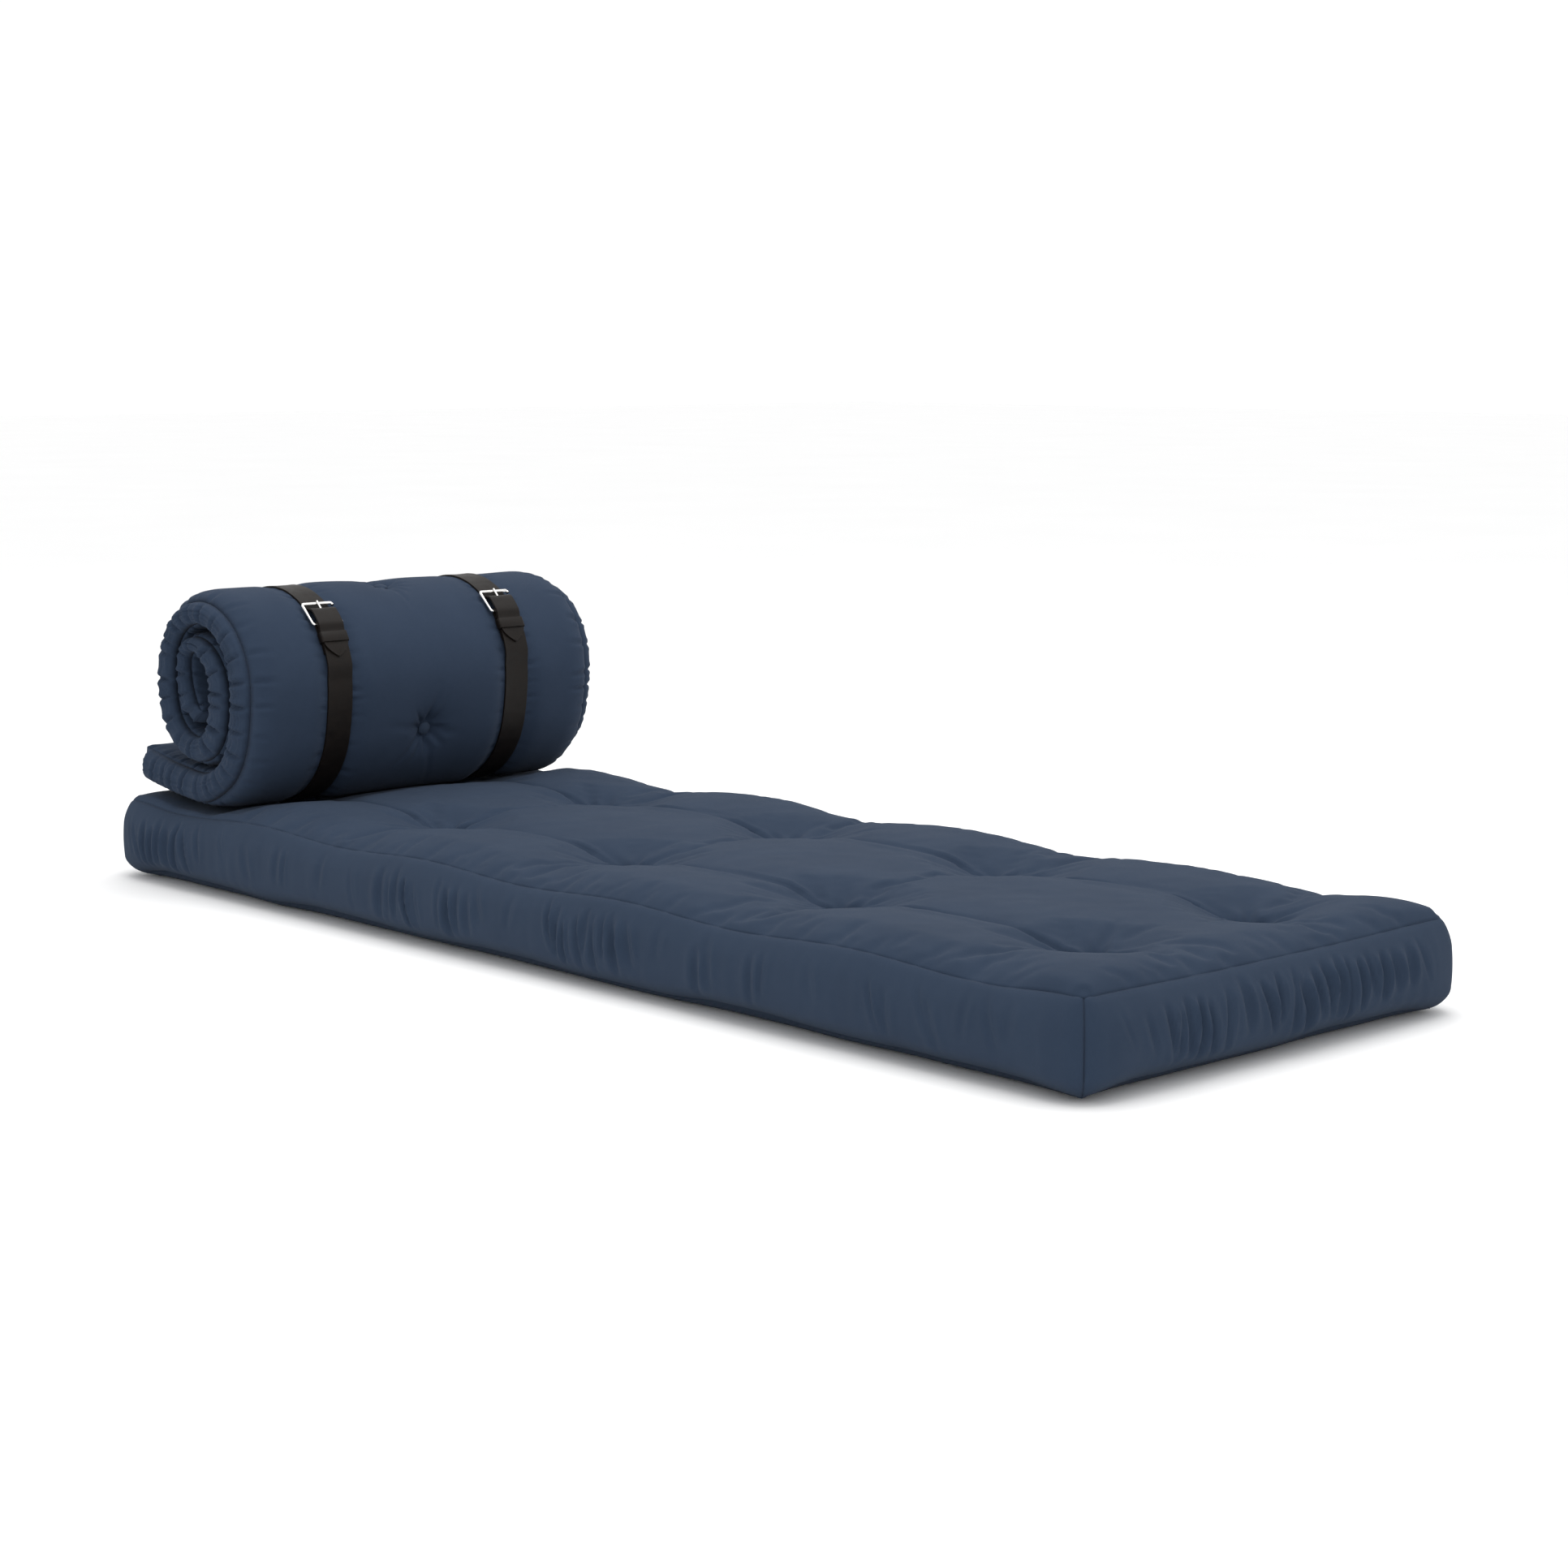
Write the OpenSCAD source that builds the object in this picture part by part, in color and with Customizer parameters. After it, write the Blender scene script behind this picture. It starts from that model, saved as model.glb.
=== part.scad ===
// Futon set: a thick tufted mattress that lies flat, and a thin mat rolled up at its head end
// and held by two leather belts with nickel buckles.
// +X runs from the head to the foot, +Y to the far side and +Z up.
// The origin is the middle of the mattress's underside.

/* [Mattress] */
// Length between the edge seams
mattress_l = 2000; // [1960:10:2060]
// Width between the edge seams
mattress_w = 700; // [680:10:760]
// Height of the upper edge seam
edge_h = 120; // [116:1:122]
// Crown of the top above the edge seam
crown_h = 32; // [24:1:36]
// Depth of the two lengthwise valleys that join the tufts
valley_depth = 12; // [6:1:16]
// Plan radius of the corners
corner_r = 25; // [20:5:70]
// Swell of the border panels past their seams
border_bulge = 15; // [10:1:18]
// Tufts in each of the two rows
tuft_count = 5; // [4:1:6]
// Distance between the two rows of tufts
tuft_row_gap = 300; // [280:10:320]
// Distance between the tufts of a row
tuft_pitch = 417.5; // [380:2.5:420]
// Thickness of the foam core
foam_t = 50; // [40:5:54]

/* [Rolled mat] */
// Width of the mat across the roll
mat_w = 640; // [600:10:660]
// Tufts along the mat
mat_tuft_count = 4; // [3:1:4]

/* [Belts] */
// Width of a belt
belt_w = 44; // [40:1:46]
// Distance between the two belts
belt_gap = 340; // [300:10:380]
// Width of the belt keeper along the belt
keeper_l = 16; // [12:1:18]

/* [Fabric] */
// Thickness of the cover panels, twill and its quilt backing together
fabric_t = 1.5; // [1.2:0.1:1.8]
// Diameter of a covered tuft button
button_d = 22; // [18:1:24]

/* [Hidden] */
$fn = 48;

gap = 0.2;            // air left between pieces that lie against each other
twine_r = 1;
twine_hole_r = 1.6;     // in foam and wadding
needle_hole_r = 1.2;    // in the cloth
button_r = button_d / 2;
button_t = 5;
pocket_r = button_r + 2.5;  // inside radius of the fabric pocket round a button
near_belt_y = -belt_gap / 2;
far_belt_y = belt_gap / 2;

navy = [0.24, 0.29, 0.37];
navy_dark = [0.19, 0.23, 0.30];
cream = [0.90, 0.87, 0.80];
foam_yellow = [0.93, 0.86, 0.62];
leather_brown = [0.16, 0.12, 0.10];
nickel = [0.80, 0.80, 0.82];

// ---------------------------------------------------------------- mattress outline and surface

shoulder = 80;          // distance over which the top rises from a seam to its crown
valley_half = 24;       // half width of a valley
parting_h = edge_h / 2; // height where the lower and the upper wadding meet
press_rise = 2.8;       // rise of the top above the edge seam where the roll lies on it
press_end = -680;       // the top starts to rise in front of the roll at this x
press_free = -560;      // and has its full crown from this x
dimple_floor = 88;      // floor of the tuft pockets in the top
dimple_top_r = 48;      // mouth radius of a tuft dimple, at dimple_top_h
dimple_top_h = 160;
under_dimple = 12;      // depth of the tuft pockets in the underside

function ease(f) = let (c = min(1, max(0, f))) c * c * (3 - 2 * c);
function shoulder_rise(d) = d >= shoulder ? 1 : sqrt(1 - pow(1 - max(0, d) / shoulder, 2));

// Rise of the top above the edge seam, along the length and across the width
function rise_along(x) =
    min(crown_h * shoulder_rise(mattress_l / 2 - x),
        press_rise * shoulder_rise(mattress_l / 2 + x)
        + (crown_h - press_rise) * ease((x - press_end) / (press_free - press_end)));
function rise_across(y) =
    crown_h * shoulder_rise(mattress_w / 2 - abs(y))
    - valley_depth * exp(-pow((abs(y) - tuft_row_gap / 2) / valley_half, 2));

along_x = concat(
    [for (d = [0, 3, 10, 25, 45, 80]) -mattress_l / 2 + d],
    [for (f = [0:0.125:1]) press_end + f * (press_free - press_end)],
    [for (d = [80, 62, 45, 30, 18, 8, 3, 0]) mattress_l / 2 - d]);
across_y = concat(
    [for (d = [0, 3, 8, 18, 30, 45, 62, 80]) -mattress_w / 2 + d],
    [for (f = [-2:0.5:2]) -tuft_row_gap / 2 + f * valley_half],
    [for (f = [-2:0.5:2]) tuft_row_gap / 2 + f * valley_half],
    [for (d = [80, 62, 45, 30, 18, 8, 3, 0]) mattress_w / 2 - d]);

module plan_outline(inset = 0) {
    flat_l = mattress_l / 2 - corner_r;
    flat_w = mattress_w / 2 - corner_r;
    square([2 * flat_l, mattress_w - 2 * inset], center = true);
    square([mattress_l - 2 * inset, 2 * flat_w], center = true);
    for (x = [-flat_l, flat_l], y = [-flat_w, flat_w]) translate([x, y]) circle(corner_r - inset);
}

module at_tufts() {
    for (i = [0:tuft_count - 1], y = [-tuft_row_gap / 2, tuft_row_gap / 2])
        translate([(i - (tuft_count - 1) / 2) * tuft_pitch, y, 0]) children();
}

module tuft_dimples(drop) {
    at_tufts() translate([0, 0, dimple_floor - drop])
        cylinder(h = dimple_top_h - dimple_floor + drop, r1 = pocket_r + drop, r2 = dimple_top_r + drop);
}
// Everything under the mattress's top surface, from the parting height up, lowered by drop
// and kept inset inside the seam line
module under_top(drop, inset = 0) {
    span = mattress_l;
    difference() {
        intersection() {
            translate([0, span / 2, 0]) rotate([90, 0, 0]) linear_extrude(span)
                polygon(concat(
                    [for (x = along_x) [x, edge_h + rise_along(x) - drop]],
                    [[mattress_l / 2, parting_h], [-mattress_l / 2, parting_h]]));
            translate([-span / 2, 0, 0]) rotate([90, 0, 90]) linear_extrude(span)
                polygon(concat(
                    [for (y = across_y) [y, edge_h + rise_across(y) - drop]],
                    [[mattress_w / 2, parting_h], [-mattress_w / 2, parting_h]]));
            translate([0, 0, parting_h]) linear_extrude(dimple_top_h - parting_h) plan_outline(inset);
        }
        tuft_dimples(drop);
    }
}

// The swollen side of the border in section: u is outwards from the seam line, v is up
bulge_h = edge_h - 2 * fabric_t;
bulge_r = (bulge_h * bulge_h / 4 + border_bulge * border_bulge) / (2 * border_bulge);
module bulge_section(inner_r) {
    translate([0, fabric_t]) intersection() {
        translate([border_bulge - bulge_r, bulge_h / 2]) difference() {
            circle(bulge_r, $fn = 128);
            if (inner_r > 0) circle(inner_r, $fn = 128);
        }
        translate([-corner_r / 2, 0]) square([corner_r / 2 + border_bulge + 1, bulge_h]);
    }
}
// The wadding that fills the swell, in steps between two heights
fill_low = 8;    // the lowest step starts here, and the highest ends as far under the edge seam
fill_step = 14;
seam_inset = 2;   // wadding keeps this far inside the seam line, where the border curves in
// Inside face of the border at height z, measured outwards from the seam line
function swell_at(z) =
    border_bulge - bulge_r + sqrt(pow(bulge_r - fabric_t, 2) - pow(z - edge_h / 2, 2));
module swell_fill(low, high) {
    for (z = [fill_low:fill_step:parting_h - fill_step])
        translate([0, 0, max(low, z)]) linear_extrude(min(high, edge_h - z) - max(low, z))
            plan_outline(-floor(swell_at(z) - gap));
}

// A border run along X on the -Y side, with the half of each corner that belongs to it
module border_run(flat, offset_y) {
    translate([-flat / 2, -offset_y, 0]) rotate([90, 0, 90]) mirror([1, 0, 0])
        linear_extrude(flat) children();
    for (side = [-1, 1]) translate([side * flat / 2, -(offset_y - corner_r), 0])
        rotate([0, 0, side > 0 ? -90 : -135]) rotate_extrude(angle = 45) translate([corner_r, 0]) children();
}
module long_border(far) {
    rotate([0, 0, far ? 180 : 0])
        border_run(mattress_l - 2 * corner_r, mattress_w / 2) children();
}
module short_border(foot) {
    rotate([0, 0, foot ? 90 : -90])
        border_run(mattress_w - 2 * corner_r, mattress_l / 2) children();
}

module mattress_top_panel() {
    color(navy) difference() {
        under_top(0);
        under_top(fabric_t);
        at_tufts() cylinder(h = dimple_top_h, r = needle_hole_r);
    }
}

module mattress_bottom_panel() {
    color(navy_dark) difference() {
        union() {
            linear_extrude(fabric_t) plan_outline();
            at_tufts() cylinder(h = under_dimple + fabric_t, r = pocket_r + fabric_t);
        }
        at_tufts() translate([0, 0, -1]) cylinder(h = under_dimple + 1, r = pocket_r);
        at_tufts() cylinder(h = parting_h, r = needle_hole_r);
    }
}

module mattress_border_near() { color(navy_dark) long_border(false) bulge_section(bulge_r - fabric_t); }
module mattress_border_far() { color(navy_dark) long_border(true) bulge_section(bulge_r - fabric_t); }
module mattress_border_foot() { color(navy_dark) short_border(true) bulge_section(bulge_r - fabric_t); }
module mattress_border_head() { color(navy_dark) short_border(false) bulge_section(bulge_r - fabric_t); }

foam_margin = 60;  // wadding between the foam core and the seam line, all round
module foam_block(grow) {
    low = parting_h - foam_t / 2 - grow;
    translate([0, 0, low]) linear_extrude(foam_t + 2 * grow)
        square([mattress_l - 2 * foam_margin + 2 * grow, mattress_w - 2 * foam_margin + 2 * grow], center = true);
}
module twine_holes() {
    at_tufts() cylinder(h = dimple_top_h, r = twine_hole_r);
}

module mattress_foam_core() {
    color(foam_yellow) difference() {
        foam_block(0);
        twine_holes();
    }
}

module mattress_wadding_upper() {
    clear = fabric_t + gap;
    color(cream) difference() {
        union() {
            under_top(clear, seam_inset);
            swell_fill(parting_h, edge_h);
        }
        tuft_dimples(clear);
        foam_block(gap);
        twine_holes();
    }
}

module mattress_wadding_lower() {
    clear = fabric_t + gap;
    color(cream) difference() {
        union() {
            translate([0, 0, clear]) linear_extrude(parting_h - gap - clear) plan_outline(seam_inset);
            swell_fill(0, parting_h - gap);
        }
        foam_block(gap);
        twine_holes();
        at_tufts() cylinder(h = under_dimple + clear, r = pocket_r + clear);
    }
}

// A covered button: a shallow dome over a flat back
module button() {
    dome_r = (button_r * button_r + button_t * button_t) / (2 * button_t);
    intersection() {
        cylinder(h = button_t, r = button_r);
        translate([0, 0, button_t - dome_r]) sphere(dome_r, $fn = 96);
    }
}

twine_low = under_dimple - button_t / 2;
twine_high = dimple_floor + button_t / 2;
module mattress_buttons_top() {
    color(navy) at_tufts() difference() {
        translate([0, 0, dimple_floor + gap]) button();
        cylinder(h = twine_high, r = twine_r);
    }
}
module mattress_buttons_bottom() {
    color(navy_dark) at_tufts() difference() {
        translate([0, 0, under_dimple - gap]) mirror([0, 0, 1]) button();
        translate([0, 0, twine_low]) cylinder(h = twine_high, r = twine_r);
    }
}
module twine_length(low, high) {
    translate([0, 0, low]) cylinder(h = high - low, r = twine_r);
}
module mattress_tuft_twine() {
    color(cream) at_tufts() twine_length(twine_low + gap, twine_high - gap);
}

// ---------------------------------------------------------------- path of the rolled mat

// The mat's middle line from its free end inwards, seen from the near side (x, z):
// arcs as [length, turn in degrees, mat thickness where the arc starts]
MAT_ARCS = [
    [160, 8, 62], [160, 81, 61], [70, 13, 62],      // under the roll and up its front
    [170, 85, 62], [135, 85, 55], [70, 19, 52],     // over the top and down the back
    [110, 78, 54], [80, 78, 52], [50, 16, 57],      // second turn, on top of the free end
    [100, 82, 58], [43, 88, 38], [94, 46, 34]       // innermost turn
];
mat_end_thickness = 44;
mat_first_tuft = 315;  // distance of the first tuft from the free end
mat_tuft_pitch = 240;
mat_start = [-975, 181];
mat_start_heading = -12.5;
arc_count = len(MAT_ARCS);

function arc_radius(i) = MAT_ARCS[i][0] * 180 / (PI * MAT_ARCS[i][1]);
function along_arc(p, heading, radius, turn) =
    p + radius * [sin(heading + turn) - sin(heading), cos(heading) - cos(heading + turn)];
// Start of each arc as [point, heading, distance along the mat]
function arc_starts(i, p, heading, s) = i == arc_count ? [[p, heading, s]] :
    concat([[p, heading, s]],
           arc_starts(i + 1, along_arc(p, heading, arc_radius(i), MAT_ARCS[i][1]),
                      heading + MAT_ARCS[i][1], s + MAT_ARCS[i][0]));
STARTS = arc_starts(0, mat_start, mat_start_heading, 0);
mat_l = STARTS[arc_count][2];

function arc_at(s, i = 0) = i == arc_count - 1 || s < STARTS[i + 1][2] ? i : arc_at(s, i + 1);
function turned(s) = let (i = arc_at(s)) MAT_ARCS[i][1] * (s - STARTS[i][2]) / MAT_ARCS[i][0];
function heading_at(s) = STARTS[arc_at(s)][1] + turned(s);
function middle_at(s) = let (i = arc_at(s)) along_arc(STARTS[i][0], STARTS[i][1], arc_radius(i), turned(s));
function outward_at(s) = [sin(heading_at(s)), -cos(heading_at(s))];
function thickness_after(i) = i == arc_count - 1 ? mat_end_thickness : MAT_ARCS[i + 1][2];
function half_at(s) = let (i = arc_at(s), f = (s - STARTS[i][2]) / MAT_ARCS[i][0])
    (MAT_ARCS[i][2] * (1 - f) + thickness_after(i) * f) / 2;
// A point beside the middle line, w outwards from it
function beside(s, w) = middle_at(s) + w * outward_at(s);
// A point above the mat's outer face
function above(s, v) = beside(s, half_at(s) + v);
// Centre of the arc that holds s
function arc_centre(s) = beside(s, -arc_radius(arc_at(s)));

mat_step = mat_l / 104;
mat_stations = [for (i = [0:104]) i * mat_step];

// Extrudes an (x, z) outline across the roll, from y0 to y1
module across_roll(y0, y1) {
    translate([0, y1, 0]) rotate([90, 0, 0]) linear_extrude(y1 - y0) children();
}
// The mat's layer from inset_in off its inner face to inset_out off its outer face
module mat_layer(inset_in, inset_out, stations = mat_stations) {
    last = len(stations) - 1;
    polygon(concat(
        [for (s = stations) beside(s, half_at(s) - inset_out)],
        [for (i = [last:-1:0]) let (s = stations[i]) beside(s, inset_in - half_at(s))]));
}
module mat_skin(outer) {
    last = len(mat_stations) - 1;
    side = outer ? 1 : -1;
    polygon(concat(
        [for (s = mat_stations) beside(s, side * half_at(s))],
        [for (i = [last:-1:0]) let (s = mat_stations[i]) beside(s, side * (half_at(s) - fabric_t))]));
}
inner_stations = concat([fabric_t + gap], [for (i = [1:103]) mat_stations[i]], [mat_l - fabric_t - gap]);

// Places children at a mat tuft, z along the outward direction, at the mat's middle line
module at_mat_tufts() {
    for (i = [1:mat_tuft_count]) {
        s = mat_first_tuft + (i - 1) * mat_tuft_pitch;
        p = middle_at(s);
        translate([p[0], 0, p[1]]) rotate([0, 90 - heading_at(s) + 90, 0]) let ($half = half_at(s)) children();
    }
}
mat_pocket = 8;  // depth of the pocket round a mat button

module mat_panel(outer) {
    color(navy) difference() {
        union() {
            across_roll(-mat_w / 2, mat_w / 2) mat_skin(outer);
            // the pocket's wall reaches past the middle of a curved face, to its edges
            intersection() {
                across_roll(-mat_w / 2, mat_w / 2) mat_layer(0, 0);
                at_mat_tufts() mirror([0, 0, outer ? 0 : 1])
                    translate([0, 0, $half - mat_pocket - fabric_t])
                        cylinder(h = mat_pocket + fabric_t + (outer ? 0 : 1.5), r = pocket_r + fabric_t);
            }
        }
        at_mat_tufts() mirror([0, 0, outer ? 0 : 1])
            translate([0, 0, $half - mat_pocket]) cylinder(h = mat_pocket + 5, r = pocket_r);
        at_mat_tufts() mirror([0, 0, outer ? 0 : 1]) cylinder(h = $half, r = needle_hole_r);
    }
}
module mat_outer_panel() { mat_panel(true); }
module mat_inner_panel() { mat_panel(false); }

module mat_border(far) {
    edge = mat_w / 2;
    color(navy_dark) across_roll(far ? edge - fabric_t : -edge, far ? edge : fabric_t - edge)
        mat_layer(fabric_t, fabric_t);
}
module mat_border_near() { mat_border(false); }
module mat_border_far() { mat_border(true); }

module mat_end(s0, s1) {
    color(navy_dark) across_roll(fabric_t - mat_w / 2, mat_w / 2 - fabric_t)
        mat_layer(fabric_t + gap, fabric_t + gap, [s0, s1]);
}
module mat_border_free_end() { mat_end(0, fabric_t); }
module mat_border_core_end() { mat_end(mat_l - fabric_t, mat_l); }

module mat_filling() {
    clear = fabric_t + gap;
    color(cream) difference() {
        across_roll(clear - mat_w / 2, mat_w / 2 - clear) mat_layer(clear, clear, inner_stations);
        at_mat_tufts() for (side = [0, 1]) mirror([0, 0, side])
            translate([0, 0, $half - mat_pocket - clear]) cylinder(h = 2 * mat_pocket, r = pocket_r + clear);
        at_mat_tufts() cylinder(h = 2 * $half, r = twine_hole_r, center = true);
    }
}
module mat_buttons(outer) {
    color(navy) at_mat_tufts() mirror([0, 0, outer ? 0 : 1]) difference() {
        translate([0, 0, $half - mat_pocket + gap]) button();
        cylinder(h = $half - mat_pocket + button_t / 2, r = twine_r);
    }
}
module mat_buttons_outer() { mat_buttons(true); }
module mat_buttons_inner() { mat_buttons(false); }
module mat_tuft_twine() {
    color(cream) at_mat_tufts() let (reach = $half - mat_pocket + button_t / 2 - gap)
        twine_length(-reach, reach);
}

// ---------------------------------------------------------------- belts

belt_t = 2.5;
// Distances along the mat, measured under the belt
tip_s = 425;       // pointed end of the belt
keeper_s = 449;    // middle of the keeper
bar_s = 467;       // end bar of the buckle
front_s = 498;     // front bar of the buckle
tongue_s = 429;    // end of the leather that is folded back round the end bar
leave_s = 732;     // where the belt leaves the back of the roll for the free end
// Heights of the belt's middle above the mat
rest_v = 0.5 + belt_t / 2;    // lying on the mat
tongue_v = 3.75;              // folded end, over the keeper's lower leg
main_v = 6.55;                // main layer, over the folded end
tail_v = 9.35;                // free end, over the main layer
bar_v = 7.35;                 // the buckle's bars
crest_v = 13.8;               // free end where it arches over the fold
bar_r = 2.2;
fold_r = bar_r + 0.15 + belt_t / 2;

bar_at = above(bar_s, bar_v);
front_at = above(front_s, bar_v);
frame_l = norm(front_at - bar_at);
// Slope of the buckle, from the front bar down to the end bar
frame_slope = atan2(bar_at[1] - front_at[1], bar_at[0] - front_at[0]);

function tail_height(s) =
    s < bar_s ? tail_v + (crest_v - tail_v) * ease((s - (bar_s - 11)) / 9)
              : crest_v - (crest_v - rest_v) * ease((s - (front_s - 14)) / 11);
function main_height(s) =
    rest_v + (main_v - rest_v) * ease((s - 396) / 22)
    + (bar_v + fold_r - main_v) * ease((s - (bar_s - 11)) / 10);

// Places in the free end's frame: a runs along the mat, w outwards
function at_free_end(a, w) =
    let (h = mat_start_heading) middle_at(0) + a * [cos(h), sin(h)] + w * [sin(h), -cos(h)];
function polar(p, r, angle) = p + r * [cos(angle), sin(angle)];

tail_side = concat(
    [for (s = [tip_s:3:front_s + 1]) above(s, tail_height(s))],
    [for (s = [front_s + 8:11:leave_s]) above(s, rest_v)]);
free_end_side = concat(
    [polar(at_free_end(0, -half_at(0)), rest_v, 162)],
    [for (a = [167.5:22.5:257.5]) polar(at_free_end(0, half_at(0)), rest_v, a)]);
main_side = concat(
    [for (s = [4:11:392]) above(s, rest_v)],
    [for (s = [396:3:bar_s - 1]) above(s, main_height(s))]);
fold = [for (a = [0:30:180]) let (h = heading_at(bar_s) - 90) polar(bar_at, fold_r, h + a)];
tongue_side = [for (s = [bar_s - 4:-3:tongue_s]) above(s, tongue_v)];
BELT_PATH = concat(tail_side, free_end_side, main_side, fold, tongue_side);

function unit(v) = v / norm(v);
function path_normal(path, i) =
    let (last = len(path) - 1, d = unit(path[min(i + 1, last)] - path[max(i - 1, 0)])) [d[1], -d[0]];
module band(path, t) {
    last = len(path) - 1;
    polygon(concat(
        [for (i = [0:last]) path[i] + t / 2 * path_normal(path, i)],
        [for (i = [last:-1:0]) path[i] - t / 2 * path_normal(path, i)]));
}

// Places children at the end bar: x runs down the belt, z outwards from the roll
module at_end_bar(y) {
    translate([bar_at[0], y, bar_at[1]]) rotate([0, -frame_slope, 0]) children();
}

stitch_r = 0.5;
module at_stitches() {
    s = tongue_s + 4;
    p = above(s, tongue_v);
    for (i = [-2:2]) translate([p[0], 8 * i, p[1]]) rotate([0, 180 - heading_at(s), 0]) children();
}
stitch_low = -belt_t / 2 - 0.1;
stitch_high = main_v - tongue_v + belt_t / 2 + 0.1;

prong_r = 1.6;
prong_slot_w = 2 * prong_r + 4;
prong_eye_r = bar_r + 2.2;
prong_eye_w = 5;
prong_eye_clear = 0.55;
tip_l = 26;                                    // length of the pointed end
flank_r = tip_l * tip_l / belt_w + belt_w / 4;  // its two sides are arcs of this radius
module belt_tip() {
    // all of the free end's layer that lies outside the point
    p = above(tip_s, tail_v);
    under_v = (main_v + tail_v) / 2;
    over_v = tail_v + belt_t;
    difference() {
        across_roll(-belt_w, belt_w) polygon(concat(
            [for (i = [-1:8]) above(tip_s + i * tip_l / 8, under_v)],
            [for (i = [8:-1:-1]) above(tip_s + i * tip_l / 8, over_v)]));
        translate([p[0], 0, p[1]]) rotate([0, 180 - heading_at(tip_s), 0])
            intersection_for (side = [-1, 1]) translate([-tip_l, side * (flank_r - belt_w / 2), -tip_l])
                cylinder(h = 2 * tip_l, r = flank_r, $fn = 96);
    }
}
module belt(y) {
    color(leather_brown) difference() {
        across_roll(y - belt_w / 2, y + belt_w / 2) band(BELT_PATH, belt_t);
        // slot in the fold for the prong's eye
        at_end_bar(y) translate([-fold_r - 3, -prong_eye_w / 2 - 0.5, -fold_r - 1.5])
            cube([fold_r + 10, prong_eye_w + 1, 2 * fold_r + 1.7]);
        at_end_bar(y) rotate([90, 0, 0])
            cylinder(h = prong_eye_w + 1, r = prong_eye_r + prong_eye_clear, center = true);
        // hole in the free end for the prong
        at_end_bar(y) translate([2 - frame_l, -prong_slot_w / 2, -1]) cube([frame_l - 14, prong_slot_w, 12]);
        translate([0, y, 0]) at_stitches()
            translate([0, 0, stitch_low - 0.05]) cylinder(h = stitch_high - stitch_low + 0.1, r = stitch_r + 0.05);
        translate([0, y, 0]) belt_tip();
    }
}
module belt_near() { belt(near_belt_y); }
module belt_far() { belt(far_belt_y); }

module belt_thread(y) {
    color(leather_brown * 1.6) translate([0, y, 0]) at_stitches()
        translate([0, 0, stitch_low]) cylinder(h = stitch_high - stitch_low, r = stitch_r);
}
module belt_thread_near() { belt_thread(near_belt_y); }
module belt_thread_far() { belt_thread(far_belt_y); }

// ---------------------------------------------------------------- buckle and keeper

frame_half_w = belt_w / 2 + bar_r + 2.3;  // middle of a side bar
frame_bend = 4;                           // bend radius of the frame's corners
module buckle_frame(y) {
    bar_l = 2 * (frame_half_w - frame_bend);
    side_l = frame_l - 2 * frame_bend;
    color(nickel) at_end_bar(y) {
        for (x = [0, -frame_l]) translate([x, bar_l / 2, 0]) rotate([90, 0, 0])
            cylinder(h = bar_l, r = bar_r);
        for (side = [-1, 1]) translate([-frame_l + frame_bend, side * frame_half_w, 0])
            rotate([0, 90, 0]) cylinder(h = side_l, r = bar_r);
        for (corner = [0:3]) translate([corner % 3 == 0 ? -frame_bend : frame_bend - frame_l,
                                        (corner < 2 ? 1 : -1) * (frame_half_w - frame_bend), 0])
            rotate([0, 0, 90 * corner]) rotate_extrude(angle = 90) translate([frame_bend, 0]) circle(bar_r);
    }
}
module buckle_frame_near() { buckle_frame(near_belt_y); }
module buckle_frame_far() { buckle_frame(far_belt_y); }

// The prong: an eye that turns on the end bar and a shank that lies on the front bar
prong_gap = 0.15;
prong_over = 2;  // length past the front bar
module buckle_prong(y) {
    foot_z = 1.8;
    tip_z = bar_r + prong_gap + prong_r;
    rise = atan2(tip_z - foot_z, frame_l - 3);
    shank_l = (frame_l - 3 + prong_over) / cos(rise);
    color(nickel) at_end_bar(y) difference() {
        union() {
            rotate([90, 0, 0]) cylinder(h = prong_eye_w, r = prong_eye_r, center = true);
            translate([-3, 0, foot_z]) rotate([0, rise - 90, 0]) {
                cylinder(h = shank_l, r = prong_r);
                translate([0, 0, shank_l]) sphere(prong_r);
            }
        }
        rotate([90, 0, 0]) cylinder(h = 3 * prong_eye_w, r = bar_r + 0.05, center = true);
    }
}
module buckle_prong_near() { buckle_prong(near_belt_y); }
module buckle_prong_far() { buckle_prong(far_belt_y); }

// The keeper: a leather loop round all the layers, curved about the same centre as they are
keeper_t = 1.4;
keeper_low_v = 0.6;
keeper_high_v = tail_v + belt_t / 2 + 0.5;
keeper_clear = 0.5;
module keeper(y) {
    centre = arc_centre(keeper_s);
    base_r = norm(above(keeper_s, 0) - centre);
    span = keeper_l / (base_r + tail_v) * 180 / PI;
    inner_w = belt_w + 2 * keeper_clear;
    color(leather_brown) translate([centre[0], y, centre[1]])
        rotate([90, 0, 0]) rotate([0, 0, heading_at(keeper_s) - 90 - span / 2])
            rotate_extrude(angle = span, $fn = 128) difference() {
                translate([base_r + keeper_low_v, -inner_w / 2 - keeper_t])
                    square([keeper_high_v - keeper_low_v + keeper_t, inner_w + 2 * keeper_t]);
                translate([base_r + keeper_low_v + keeper_t, -inner_w / 2])
                    square([keeper_high_v - keeper_low_v - keeper_t, inner_w]);
            }
}
module keeper_near() { keeper(near_belt_y); }
module keeper_far() { keeper(far_belt_y); }

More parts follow.
